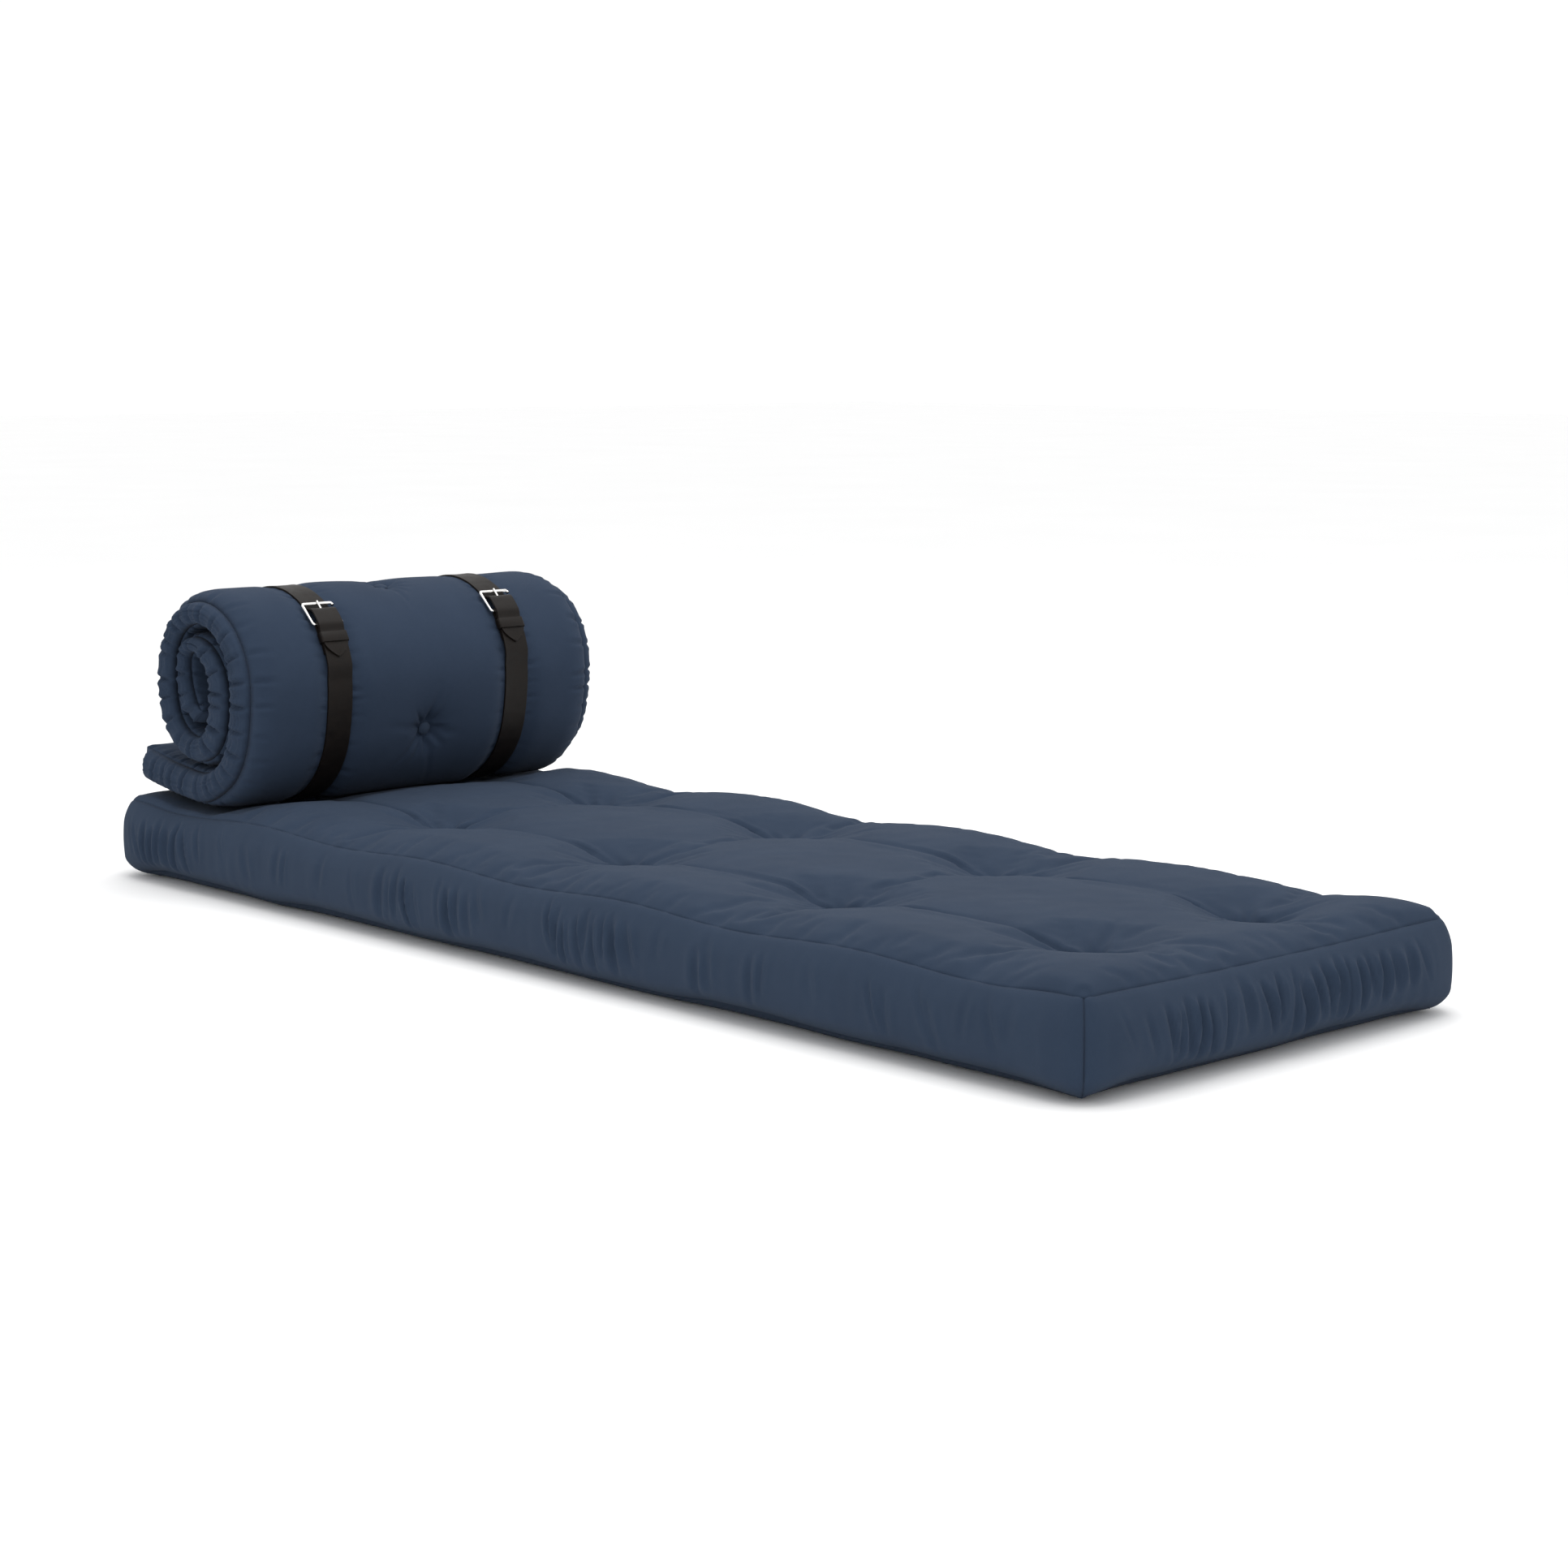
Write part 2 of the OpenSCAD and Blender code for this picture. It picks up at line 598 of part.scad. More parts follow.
mattress_top_panel();
mattress_bottom_panel();
mattress_border_near();
mattress_border_far();
mattress_border_foot();
mattress_border_head();
mattress_foam_core();
mattress_wadding_upper();
mattress_wadding_lower();
mattress_buttons_top();
mattress_buttons_bottom();
mattress_tuft_twine();
mat_outer_panel();
mat_inner_panel();
mat_border_near();
mat_border_far();
mat_border_free_end();
mat_border_core_end();
mat_filling();
mat_buttons_outer();
mat_buttons_inner();
mat_tuft_twine();
belt_near();
belt_far();
belt_thread_near();
belt_thread_far();
buckle_frame_near();
buckle_frame_far();
buckle_prong_near();
buckle_prong_far();
keeper_near();
keeper_far();
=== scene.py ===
# Futon set: a tufted mattress that lies flat, and a thin mat rolled up on its head end in two belts.
# +X runs from the head to the foot, +Y to the far side and +Z up. Lengths are in metres.
import math

import bpy
import numpy as np
from mathutils import Matrix, Vector


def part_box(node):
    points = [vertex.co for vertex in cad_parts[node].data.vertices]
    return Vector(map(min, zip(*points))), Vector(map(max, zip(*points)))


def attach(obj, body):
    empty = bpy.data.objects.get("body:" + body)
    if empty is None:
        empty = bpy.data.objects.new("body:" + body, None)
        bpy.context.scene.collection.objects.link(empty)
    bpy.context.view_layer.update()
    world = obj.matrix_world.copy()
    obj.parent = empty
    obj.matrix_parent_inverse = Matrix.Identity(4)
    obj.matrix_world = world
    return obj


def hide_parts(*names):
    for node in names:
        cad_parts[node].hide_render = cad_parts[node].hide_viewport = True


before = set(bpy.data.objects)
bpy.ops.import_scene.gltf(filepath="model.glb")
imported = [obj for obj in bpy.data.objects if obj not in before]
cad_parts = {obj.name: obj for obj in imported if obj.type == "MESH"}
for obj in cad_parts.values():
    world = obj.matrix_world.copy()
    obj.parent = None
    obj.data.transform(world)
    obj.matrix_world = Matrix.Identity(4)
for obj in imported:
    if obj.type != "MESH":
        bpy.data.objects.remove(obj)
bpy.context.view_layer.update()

NEAR, FAR = "near", "far"
BELT_Y = {side: sum(c.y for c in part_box(f"belt_{side}")) / 2 for side in (NEAR, FAR)}

# ------------------------------------------------------------------ camera, light and floor

def set_camera():
    camera = bpy.data.objects.new("camera", bpy.data.cameras.new("camera"))
    bpy.context.scene.collection.objects.link(camera)
    camera.data.lens = 68.1
    camera.data.sensor_width = 36
    camera.location = (3.078, -2.752, 0.823)
    camera.rotation_euler = (math.radians(90 - 8.36), 0, math.radians(46.78))
    bpy.context.scene.camera = camera


def area_light(name, place, target, size, power):
    light = bpy.data.lights.new(name, "AREA")
    light.size = size
    light.energy = power
    holder = bpy.data.objects.new(name, light)
    holder.location = place
    holder.rotation_euler = (Vector(target) - Vector(place)).to_track_quat("-Z", "Y").to_euler()
    bpy.context.scene.collection.objects.link(holder)


def set_studio():
    world = bpy.data.worlds.new("studio")
    bpy.context.scene.world = world
    world.use_nodes = True
    background = world.node_tree.nodes["Background"]
    background.inputs["Color"].default_value = (1, 1, 1, 1)
    background.inputs["Strength"].default_value = 1.04
    bpy.context.scene.view_settings.view_transform = "Standard"
    area_light("overhead", (0.1, 0.3, 3.4), (0, 0, 0), 3.2, 70)


# ------------------------------------------------------------------ shader arithmetic

class Value:
    """A shader socket that takes part in plain arithmetic: each operation adds a Math node."""

    def __init__(self, shader, socket):
        self.shader, self.socket = shader, socket

    def _math(self, operation, *values):
        return self.shader.add("ShaderNodeMath", {"operation": operation}, dict(enumerate(values)))

    def __add__(self, other):
        return self._math("ADD", self, other)

    def __sub__(self, other):
        return self._math("SUBTRACT", self, other)

    def __mul__(self, other):
        return self._math("MULTIPLY", self, other)

    def __rsub__(self, other):
        return self._math("SUBTRACT", other, self)

    __radd__, __rmul__ = __add__, __mul__

    def sin(self):
        return self._math("SINE", self)

    def clamped(self):
        return self.shader.add("ShaderNodeClamp", {}, {"Value": self})


class Shader:
    """A material's node tree, with its Principled shader at .surface."""

    def __init__(self, name, **constants):
        self.material = bpy.data.materials.new(name)
        self.material.use_nodes = True
        self.tree = self.material.node_tree
        self.surface = self.tree.nodes["Principled BSDF"]
        for socket, value in constants.items():
            self.surface.inputs[socket.replace("_", " ")].default_value = value

    def add(self, kind, settings, inputs, output=0):
        node = self.tree.nodes.new(kind)
        for name, value in settings.items():
            setattr(node, name, value)
        for name, value in inputs.items():
            self.feed(node.inputs[name], value)
        return Value(self, node.outputs[output])

    def feed(self, socket, value):
        if isinstance(value, Value):
            self.tree.links.new(value.socket, socket)
        else:
            socket.default_value = value

    def cloth_place(self):
        """The piece's own flat pattern coordinates, in metres."""
        return self.add("ShaderNodeUVMap", {"uv_map": "cloth"}, {})

    def object_place(self):
        return self.add("ShaderNodeTexCoord", {}, {}, "Object")

    def split(self, place, other):
        """The X of a place and its other named axis."""
        axes = self.add("ShaderNodeSeparateXYZ", {}, {"Vector": place})
        return axes, Value(self, axes.socket.node.outputs[other])

    def noise(self, place, scale, detail=2.0, roughness=0.5):
        return self.add("ShaderNodeTexNoise", {},
                        {"Vector": place, "Scale": scale, "Detail": detail, "Roughness": roughness})

    def mixed(self, factor, first, second):
        return self.add("ShaderNodeMix", {"data_type": "RGBA"},
                        {"Factor": factor, 6: first, 7: second}, 2)

    def bump(self, height, distance, strength):
        return self.add("ShaderNodeBump", {}, {"Height": height, "Distance": distance, "Strength": strength})

    def finish(self, **inputs):
        for socket, value in inputs.items():
            self.feed(self.surface.inputs[socket.replace("_", " ")], value)
        return self.material


COTTON_GLOSS = {"Sheen_Weight": 0.03, "Sheen_Roughness": 0.5, "Specular_IOR_Level": 0.07}


def twill(name, light, dark):
    """Matt cotton twill: diagonal wales over two sets of yarns, slubs and slow shade changes."""
    shader = Shader(name, **COTTON_GLOSS)
    place = shader.cloth_place()
    u, v = shader.split(place, "Y")
    wale_pitch = 0.0011
    turn = 2 * math.pi
    wale = ((u + v) * (turn / wale_pitch)).sin()
    warp = (u * (turn / (0.55 * wale_pitch))).sin()
    weave = wale * 0.5 + warp * 0.25 + 0.5
    slub = shader.noise(shader.add("ShaderNodeMapping", {}, {"Vector": place, "Scale": (900.0, 120.0, 1.0)}), 1.0)
    fibre = shader.noise(place, 700.0, 3.0, 0.6)
    cloud = shader.noise(place, 9.0, 3.0, 0.6)
    shade = (cloud * 0.7 + slub * 0.25 + fibre * 0.25 + weave * 0.12 - 0.16).clamped()
    height = weave * 0.5 + slub * 0.35 + fibre * 0.25
    return shader.finish(
        Base_Color=shader.mixed(shade, dark, light),
        Roughness=fibre * 0.18 + 0.78,
        Normal=shader.bump(height, 0.0004, 0.55),
    )


def button_cloth(name):
    """The cover's cloth drawn tight over a button, patterned in the button's own space."""
    shader = Shader(name, **COTTON_GLOSS)
    place = shader.object_place()
    x, y = shader.split(place, "Y")
    weave = ((x + y) * 5700.0).sin() * 0.5 + 0.5
    fibre = shader.noise(place, 700.0, 3.0, 0.6)
    shade = (fibre * 0.6 + weave * 0.25).clamped()
    return shader.finish(
        Base_Color=shader.mixed(shade, (0.024, 0.036, 0.060, 1), (0.038, 0.055, 0.088, 1)),
        Roughness=fibre * 0.18 + 0.78,
        Normal=shader.bump(weave * 0.5 + fibre * 0.4, 0.0004, 0.5),
    )


def leather(name):
    """Dark brown full-grain leather: fine grain and pull-up lights."""
    shader = Shader(name, Specular_IOR_Level=0.18, Coat_Weight=0.01, Coat_Roughness=0.3)
    place = shader.object_place()
    grain = shader.add("ShaderNodeTexVoronoi", {"feature": "DISTANCE_TO_EDGE"},
                       {"Vector": place, "Scale": 900.0}, "Distance")
    pores = shader.noise(place, 1800.0, 2.0)
    cloud = shader.noise(place, 60.0, 4.0, 0.65)
    streak = shader.noise(place, 260.0, 3.0, 0.6)
    shade = (cloud * 0.9 + streak * 0.4 - 0.25).clamped()
    return shader.finish(
        Base_Color=shader.mixed(shade, (0.003, 0.002, 0.0015, 1), (0.0105, 0.0066, 0.0045, 1)),
        Roughness=cloud * 0.25 + streak * 0.1 + 0.33,
        Normal=shader.bump(grain * 0.6 + pores * 0.4, 0.00025, 0.7),
    )


def nickel(name):
    shader = Shader(name, Metallic=1.0)
    place = shader.object_place()
    smear = shader.noise(place, 90.0, 3.0, 0.6)
    stretched = shader.add("ShaderNodeMapping", {}, {"Vector": place, "Scale": (300.0, 2500.0, 300.0)})
    polish = shader.noise(stretched, 1.0)
    return shader.finish(
        Base_Color=shader.mixed(smear, (0.72, 0.71, 0.69, 1), (0.86, 0.85, 0.83, 1)),
        Roughness=smear * 0.12 + polish * 0.06 + 0.12,
        Normal=shader.bump(polish, 0.00005, 0.3),
    )


def wadding(name, light, dark, cell):
    shader = Shader(name, Sheen_Weight=0.3)
    place = shader.object_place()
    tuft = shader.noise(place, cell, 5.0, 0.7)
    fibre = shader.noise(place, 12 * cell, 3.0, 0.7)
    return shader.finish(
        Base_Color=shader.mixed((tuft * 0.7 + fibre * 0.5 - 0.1).clamped(), dark, light),
        Roughness=fibre * 0.15 + 0.82,
        Normal=shader.bump(tuft * 0.6 + fibre * 0.4, 0.002, 0.6),
    )


def twine(name, light, dark):
    shader = Shader(name, Sheen_Weight=0.2)
    place = shader.object_place()
    along, up = shader.split(place, "Z")
    twist = ((along * 900.0) + (up * 2400.0)).sin() * 0.5 + 0.5
    fibre = shader.noise(place, 2200.0, 2.0)
    return shader.finish(
        Base_Color=shader.mixed((twist * 0.6 + fibre * 0.4).clamped(), dark, light),
        Roughness=fibre * 0.2 + 0.6,
        Normal=shader.bump(twist, 0.0002, 0.8),
    )


def floor_paint(name):
    shader = Shader(name)
    place = shader.object_place()
    haze = shader.noise(place, 1.3, 2.0)
    return shader.finish(
        Base_Color=shader.mixed(haze, (0.93, 0.93, 0.93, 1), (0.97, 0.97, 0.97, 1)),
        Roughness=haze * 0.1 + 0.75,
    )


COVER = twill("cover_twill", (0.0325, 0.0500, 0.0830, 1), (0.0205, 0.0330, 0.0580, 1))
MAT_COVER = twill("mat_twill", (0.0325, 0.0490, 0.0820, 1), (0.0200, 0.0320, 0.0560, 1))
BUTTON_CLOTH = button_cloth("button_twill")
LEATHER = leather("belt_leather")
NICKEL = nickel("bright_nickel")
COTTON = wadding("cotton_wadding", (0.82, 0.78, 0.68, 1), (0.62, 0.57, 0.46, 1), 45.0)
FOAM = wadding("yellow_foam", (0.84, 0.74, 0.42, 1), (0.70, 0.58, 0.28, 1), 160.0)
TWINE = twine("waxed_twine", (0.76, 0.71, 0.60, 1), (0.48, 0.43, 0.34, 1))
THREAD = twine("brown_thread", (0.06, 0.045, 0.035, 1), (0.025, 0.018, 0.014, 1))


# ------------------------------------------------------------------ surfaces in code

def ease(f):
    f = np.clip(f, 0, 1)
    return f * f * (3 - 2 * f)


def soft_noise(u, v, cell, seed):
    """A smooth random field over (u, v), from -1 to 1, with one free value per cell."""
    size = 64
    table = np.random.RandomState(seed).uniform(-1, 1, (size, size))
    x, y = u / cell, v / cell
    i, j = np.floor(x).astype(int), np.floor(y).astype(int)
    fx, fy = ease(x - i), ease(y - j)

    def at(di, dj):
        return table[(i + di) % size, (j + dj) % size]

    low = at(0, 0) * (1 - fx) + at(1, 0) * fx
    high = at(0, 1) * (1 - fx) + at(1, 1) * fx
    return low * (1 - fy) + high * fy


def folds(u, v, creases, middle=False):
    """Height of narrow folds on a flat pattern. A crease (u0, v0, u1, v1, depth, width) is deepest at its
    first end and runs out at its second, between two low ridges. With middle, it runs out at both ends."""
    height = np.zeros(u.shape)
    for u0, v0, u1, v1, depth, width in creases:
        margin = 5 * width
        near = np.nonzero((u > min(u0, u1) - margin) & (u < max(u0, u1) + margin)
                          & (v > min(v0, v1) - margin) & (v < max(v0, v1) + margin))
        a, b = u[near] - u0, v[near] - v0
        du, dv = u1 - u0, v1 - v0
        length = math.hypot(du, dv)
        along = (a * du + b * dv) / length ** 2
        across = np.abs(a * dv - b * du) / length
        past = np.maximum(np.maximum(-along, along - 1), 0) * length / width
        t = np.clip(along, 0, 1)
        fade = (np.sin(math.pi * t) ** 0.7 if middle else (1 - t) ** 1.3) * np.exp(-past ** 2)
        groove = np.exp(-(across / width) ** 2)
        ridge = np.exp(-((across - 2.3 * width) / (1.3 * width)) ** 2)
        height[near] += depth * fade * (0.45 * ridge - groove)
    return height


def spokes(random, u, v, count, reach, depth, width, start=0.010):
    """Creases that radiate from a tuft at (u, v)."""
    turn = random.uniform(0, 2 * math.pi)
    made = []
    for k in range(count):
        angle = turn + 2 * math.pi * (k + random.uniform(-0.3, 0.3)) / count
        far = start + reach * random.uniform(0.5, 1.15)
        c, s = math.cos(angle), math.sin(angle)
        made.append((u + start * c, v + start * s, u + far * c, v + far * s,
                     depth * random.uniform(0.6, 1.2), width * random.uniform(0.8, 1.3)))
    return made


def grid_faces(rows, columns):
    """Quads over a grid of points stored row by row."""
    index = np.arange(rows * columns).reshape(rows, columns)
    return np.stack([index[:-1, :-1], index[1:, :-1], index[1:, 1:], index[:-1, 1:]], -1).reshape(-1, 4)


def mesh_piece(name, points, faces, flat=None, material=None):
    """A smooth mesh object; flat gives each point its place on the flat cloth, for the weave."""
    mesh = bpy.data.meshes.new(name)
    mesh.from_pydata(np.asarray(points, float).reshape(-1, 3).tolist(), [], [list(map(int, f)) for f in faces])
    mesh.shade_smooth()
    if flat is not None:
        corner = np.zeros(len(mesh.loops), int)
        mesh.loops.foreach_get("vertex_index", corner)
        layer = mesh.uv_layers.new(name="cloth")
        layer.data.foreach_set("uv", np.asarray(flat, float).reshape(-1, 2)[corner].ravel())
    if material:
        mesh.materials.append(material)
    piece = bpy.data.objects.new(name, mesh)
    bpy.context.scene.collection.objects.link(piece)
    return piece


def apply_modifiers(piece):
    bpy.ops.object.select_all(action="DESELECT")
    piece.select_set(True)
    bpy.context.view_layer.objects.active = piece
    for modifier in list(piece.modifiers):
        bpy.ops.object.modifier_apply(modifier=modifier.name)


def give_thickness(piece, thickness):
    """Turns an open sheet into a closed shell, inwards from the sheet."""
    solid = piece.modifiers.new("thickness", "SOLIDIFY")
    solid.thickness = thickness
    solid.offset = -1
    apply_modifiers(piece)


def settle(piece, body, slot, *nodes, fill=None):
    """Gives a finished piece its body and hides the CAD nodes that it stands for. Its slot and its fill are not
    used.
    """
    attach(piece, body)
    if nodes:
        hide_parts(*nodes)


# ------------------------------------------------------------------ the mattress

TOP_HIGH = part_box("mattress_top_panel")[1]
BUTTONS_LOW, BUTTONS_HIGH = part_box("mattress_buttons_top")
BUTTON_R = 0.011
HALF_L, HALF_W = TOP_HIGH.x, TOP_HIGH.y
CORNER_R = 0.025
UNDER_IN, TOP_IN = 0.017, 0.008     # the bottom and top edge seams are tucked in by this much
TUFT_PITCH = (BUTTONS_HIGH.x - BUTTONS_LOW.x - 2 * BUTTON_R) / 4
TUFT_Y = BUTTONS_HIGH.y - BUTTON_R
TUFTS_X = [(i - 2) * TUFT_PITCH for i in range(5)]
TUFTS = [(x, y) for x in TUFTS_X for y in (-TUFT_Y, TUFT_Y)]
TUFT_FLOOR = BUTTONS_LOW.z - 0.0002
EDGE_H = 0.120
FABRIC_T = 0.0015
ROLL_FRONT_X, ROLL_END_Y = -0.69, 0.325     # the roll holds the top down behind and within these
SETTLE_FRAMES = 20
CLOTH_GROWTH = 0.010    # share by which the top cloth is longer than the form that it is stretched over
SETTLE_LIMIT = 0.009    # furthest that settling moves a point of the cloth


def ruled(stops, cell):
    """Grid lines from the first stop to the last, with a line on every stop."""
    lines = [stops[0]]
    for a, b in zip(stops, stops[1:]):
        n = max(1, round((b - a) / cell))
        lines += [a + (b - a) * k / n for k in range(1, n + 1)]
    return np.array(lines)


def refined(values, factor):
    """Puts factor - 1 smooth rows between neighbouring rows."""
    padded = np.concatenate([2 * values[:1] - values[1:2], values, 2 * values[-1:] - values[-2:-1]])
    n = len(values)
    t = np.arange((n - 1) * factor + 1) / factor
    i = np.minimum(t.astype(int), n - 2)
    f = (t - i).reshape(-1, *[1] * (values.ndim - 1))
    a, b, c, d = (padded[i + k] for k in range(4))
    return b + 0.5 * f * (c - a + f * (2 * a - 5 * b + 4 * c - d + f * (3 * (b - c) + d - a)))


def refined_grid(grid, factor):
    return refined(refined(grid, factor).swapaxes(0, 1), factor).swapaxes(0, 1)


def rounded_plan(x, y):
    """Moves points of the square plan so that its corners become round."""
    qx = np.maximum(np.abs(x) - (HALF_L - CORNER_R), 0)
    qy = np.maximum(np.abs(y) - (HALF_W - CORNER_R), 0)
    reach = np.hypot(qx, qy)
    shrink = np.where(reach > 0, np.maximum(qx, qy) / np.maximum(reach, 1e-9), 1)
    return (np.sign(x) * (np.abs(x) - qx + qx * shrink), np.sign(y) * (np.abs(y) - qy + qy * shrink))


def tucked(px, py, amount):
    """Plan points with the outline drawn in by this much, square to it."""
    qx = np.maximum(np.abs(px) - (HALF_L - CORNER_R), 0)
    qy = np.maximum(np.abs(py) - (HALF_W - CORNER_R), 0)
    reach = np.maximum(np.hypot(qx, qy), 1e-9)
    part = amount * (reach / CORNER_R) ** 1.2 / reach
    return px - np.sign(px) * qx * part, py - np.sign(py) * qy * part


def lump(x):
    """0 at the tufts and 1 half way between them, along the mattress."""
    return 0.5 - 0.5 * np.cos(2 * math.pi * x / TUFT_PITCH)


def seam_height(x, y):
    """Height of the top edge seam: it is drawn down beside each tuft."""
    side = 0.0030 + (0.0080 * lump(x) - 0.0070) * (1 - 0.9 * ease((np.abs(x) - 0.86) / 0.12))
    return EDGE_H - 0.002 + side * ease((np.abs(y) - 0.1) / (HALF_W - 0.1))


def shoulder(d, width):
    return np.sqrt(1 - (1 - np.clip(d / width, 0, 1)) ** 2)


def top_height(x, y):
    """Height of the top over the square plan, before the cloth settles."""
    rise = shoulder(HALF_L - np.abs(x), 0.085) * shoulder(HALF_W - np.abs(y), 0.085)
    crown = 0.0135 + 0.002 * lump(x) + 0.008 * ease((x - 0.65) / 0.25) * ease(np.abs(y) / 0.3)
    wander = 0.007 * soft_noise(x, 2.0 * np.sign(y), 0.17, 71) * lump(x)
    dy = np.abs(y) - TUFT_Y - wander
    ends = 1 - 0.9 * ease((np.abs(x) - 0.86) / 0.09)
    valley = (0.0050 * np.exp(-(dy / 0.050) ** 2) + 0.0085 * np.exp(-np.abs(dy) / 0.0085) * (1 - 0.3 * lump(x))
              - 0.0025 * np.exp(-((dy + 0.019 * np.sign(y)) / 0.014) ** 2) * lump(x))
    z = seam_height(x, y) + crown * rise - valley * ends
    z = z - 0.003 * (1 - lump(x)) ** 3 * rise
    for tx, ty in TUFTS:
        r = np.hypot((x - tx) / 1.2, y - ty)
        pull = 0.22 * np.exp(-(r / 0.055) ** 2) + 0.78 * np.exp(-(np.maximum(r - 0.0105, 0) / 0.0105) ** 1.25)
        z = z - (z - TUFT_FLOOR) * np.clip(pull / 0.985, 0, 1)
    return z


def underside_of_roll(x):
    """Height of the roll above each place along the mattress."""
    s = np.linspace(-0.004, 0.30, 200)
    proud = 0.0100 * ease((s - 0.150) / 0.06)
    roll_x, roll_z = ROLL.place(s, ROLL.half_at(s) + proud)
    return np.interp(x, roll_x, roll_z, left=0.30, right=0.30)


def pressed(x, z):
    """Keeps the top just under the roll that lies on it."""
    gap = (underside_of_roll(x) - 0.0006 - z) / 0.0022
    return z + 0.0022 * (gap - np.logaddexp(0, gap))


def settled_cloth(points, faces, pinned):
    """Blows the cloth up from below with Cloth, held at its pinned points, and returns its points."""
    piece = mesh_piece("settling", points, faces)
    group = piece.vertex_groups.new(name="pins")
    group.add([int(i) for i in np.flatnonzero(pinned)], 1.0, "REPLACE")
    cloth = piece.modifiers.new("cloth", "CLOTH")
    setup = cloth.settings
    setup.vertex_group_mass = "pins"
    setup.quality = 6
    setup.mass = 0.25
    setup.tension_stiffness = setup.compression_stiffness = 18
    setup.shear_stiffness = 6
    setup.bending_stiffness = 0.6
    setup.shrink_min = -CLOTH_GROWTH
    setup.use_pressure = True
    setup.uniform_pressure_force = 4
    setup.effector_weights.gravity = 0
    cloth.collision_settings.use_collision = False
    cloth.point_cache.frame_end = SETTLE_FRAMES
    scene = bpy.context.scene
    for frame_number in range(1, SETTLE_FRAMES + 1):
        scene.frame_set(frame_number)
    apply_modifiers(piece)
    found = np.zeros(len(points) * 3)
    piece.data.vertices.foreach_get("co", found)
    bpy.data.objects.remove(piece)
    scene.frame_set(1)
    return found.reshape(-1, 3)


def top_creases(random):
    """Creases of the top in plan: spokes round each tuft, and lines from it towards its neighbours."""
    made = []
    for x, y in TUFTS:
        made += spokes(random, x, y, 7, 0.055, 0.0090, 0.0042, start=0.012)
        made += spokes(random, x, y, 5, 0.100, 0.0060, 0.0058, start=0.014)
    for (x, y), step in [(t, s) for t in TUFTS for s in (-1, 1)]:
        bend = 0.007 * random.uniform(-1, 1)
        reach = TUFT_PITCH * random.uniform(0.5, 0.62)
        if abs(x + step * TUFT_PITCH) > HALF_L:
            reach = 0.085
        made.append((x + 0.012 * step, y, x + step * reach * 0.6, y + bend, 0.0065, 0.0036))
        made.append((x + step * reach * 0.35, y + bend * 0.6, x + step * reach, y + 1.4 * bend, 0.0035, 0.0032))
    return made


def mattress_top(random):
    """Points of the top panel on a fine grid, and their places on the flat cloth."""
    x, y = np.meshgrid(ruled([-HALF_L, *TUFTS_X, HALF_L], 0.0123),
                       ruled([-HALF_W, -TUFT_Y, TUFT_Y, HALF_W], 0.0125), indexing="ij")
    z = pressed(x, top_height(x, y))
    px, py = rounded_plan(x, y)
    start = np.stack([px, py, z], -1)
    tuft_gap = np.min([np.hypot(x - tx, y - ty) for tx, ty in TUFTS], 0)
    edge = (np.abs(x) > HALF_L - 1e-6) | (np.abs(y) > HALF_W - 1e-6)
    pinned = edge | (tuft_gap < 0.014) | ((x < ROLL_FRONT_X) & (np.abs(y) < ROLL_END_Y))
    loose = start.copy()
    loose[..., 2] += np.where(pinned, 0, 0.0006 * soft_noise(x, y, 0.03, 5))
    found = settled_cloth(loose.reshape(-1, 3), grid_faces(*x.shape), pinned.ravel())
    moved = found.reshape(start.shape) - start
    share = np.minimum(1, SETTLE_LIMIT / np.maximum(np.linalg.norm(moved, axis=-1), 1e-9))
    start = start + moved * share[..., None]
    flat = refined_grid(np.stack([x, y], -1), 3)
    fine = refined_grid(start, 3)
    u, v = flat[..., 0], flat[..., 1]
    edge_gap = np.minimum(HALF_L - np.abs(u), HALF_W - np.abs(v))
    calm = ease(edge_gap / 0.03)
    fine[..., 2] += folds(u, v, top_creases(random)) * calm
    fine[..., 2] += calm * (0.0016 * soft_noise(u, v, 0.085, 11) + 0.0006 * soft_noise(u, v, 0.028, 12))
    fine[..., 2] = pressed(u, fine[..., 2])
    fine[..., 2] -= 0.0016 * np.exp(-(edge_gap / 0.003) ** 2)
    fine[..., 0], fine[..., 1] = tucked(fine[..., 0], fine[..., 1], TOP_IN)
    return fine, flat


def lowest_near(z, reach):
    """The lowest height within a few rows and columns of each place."""
    padded = np.pad(z, reach, mode="edge")
    rows, columns = z.shape
    shifts = range(2 * reach + 1)
    return np.min([padded[i:i + rows, j:j + columns] for i in shifts for j in shifts], 0)


# Where the borders gather: (place along the border, strength of the pinch). Places are measured from the
# head on the long sides, and from the near side on the foot.
NEAR_GATHERS = [(0.045, 0.3), (0.065, 0.5), (0.085, 0.9), (0.105, 0.8), (0.125, 0.9), (0.15, 0.8), (0.175, 0.9),
                (0.20, 0.7), (0.235, 0.4), (0.30, 0.25), (0.37, 0.25), (0.45, 0.45), (0.47, 0.2), (0.56, 0.2),
                (0.64, 0.25), (0.71, 0.7), (0.725, 0.8), (0.745, 0.6), (0.77, 0.85), (0.79, 0.5), (0.845, 0.6),
                (0.865, 0.8), (0.885, 0.7), (0.91, 0.6), (0.93, 0.4), (1.0, 0.2), (1.085, 0.8), (1.10, 0.6),
                (1.115, 0.7), (1.145, 0.9), (1.16, 0.7), (1.175, 0.95), (1.195, 0.7), (1.215, 0.8), (1.245, 0.7),
                (1.30, 0.25), (1.375, 0.5), (1.395, 0.4), (1.475, 0.4), (1.495, 0.35), (1.58, 0.2),
                (1.685, 0.4), (1.705, 0.3), (1.765, 0.4), (1.78, 0.3), (1.83, 0.25), (1.87, 0.2), (1.90, 0.2)]
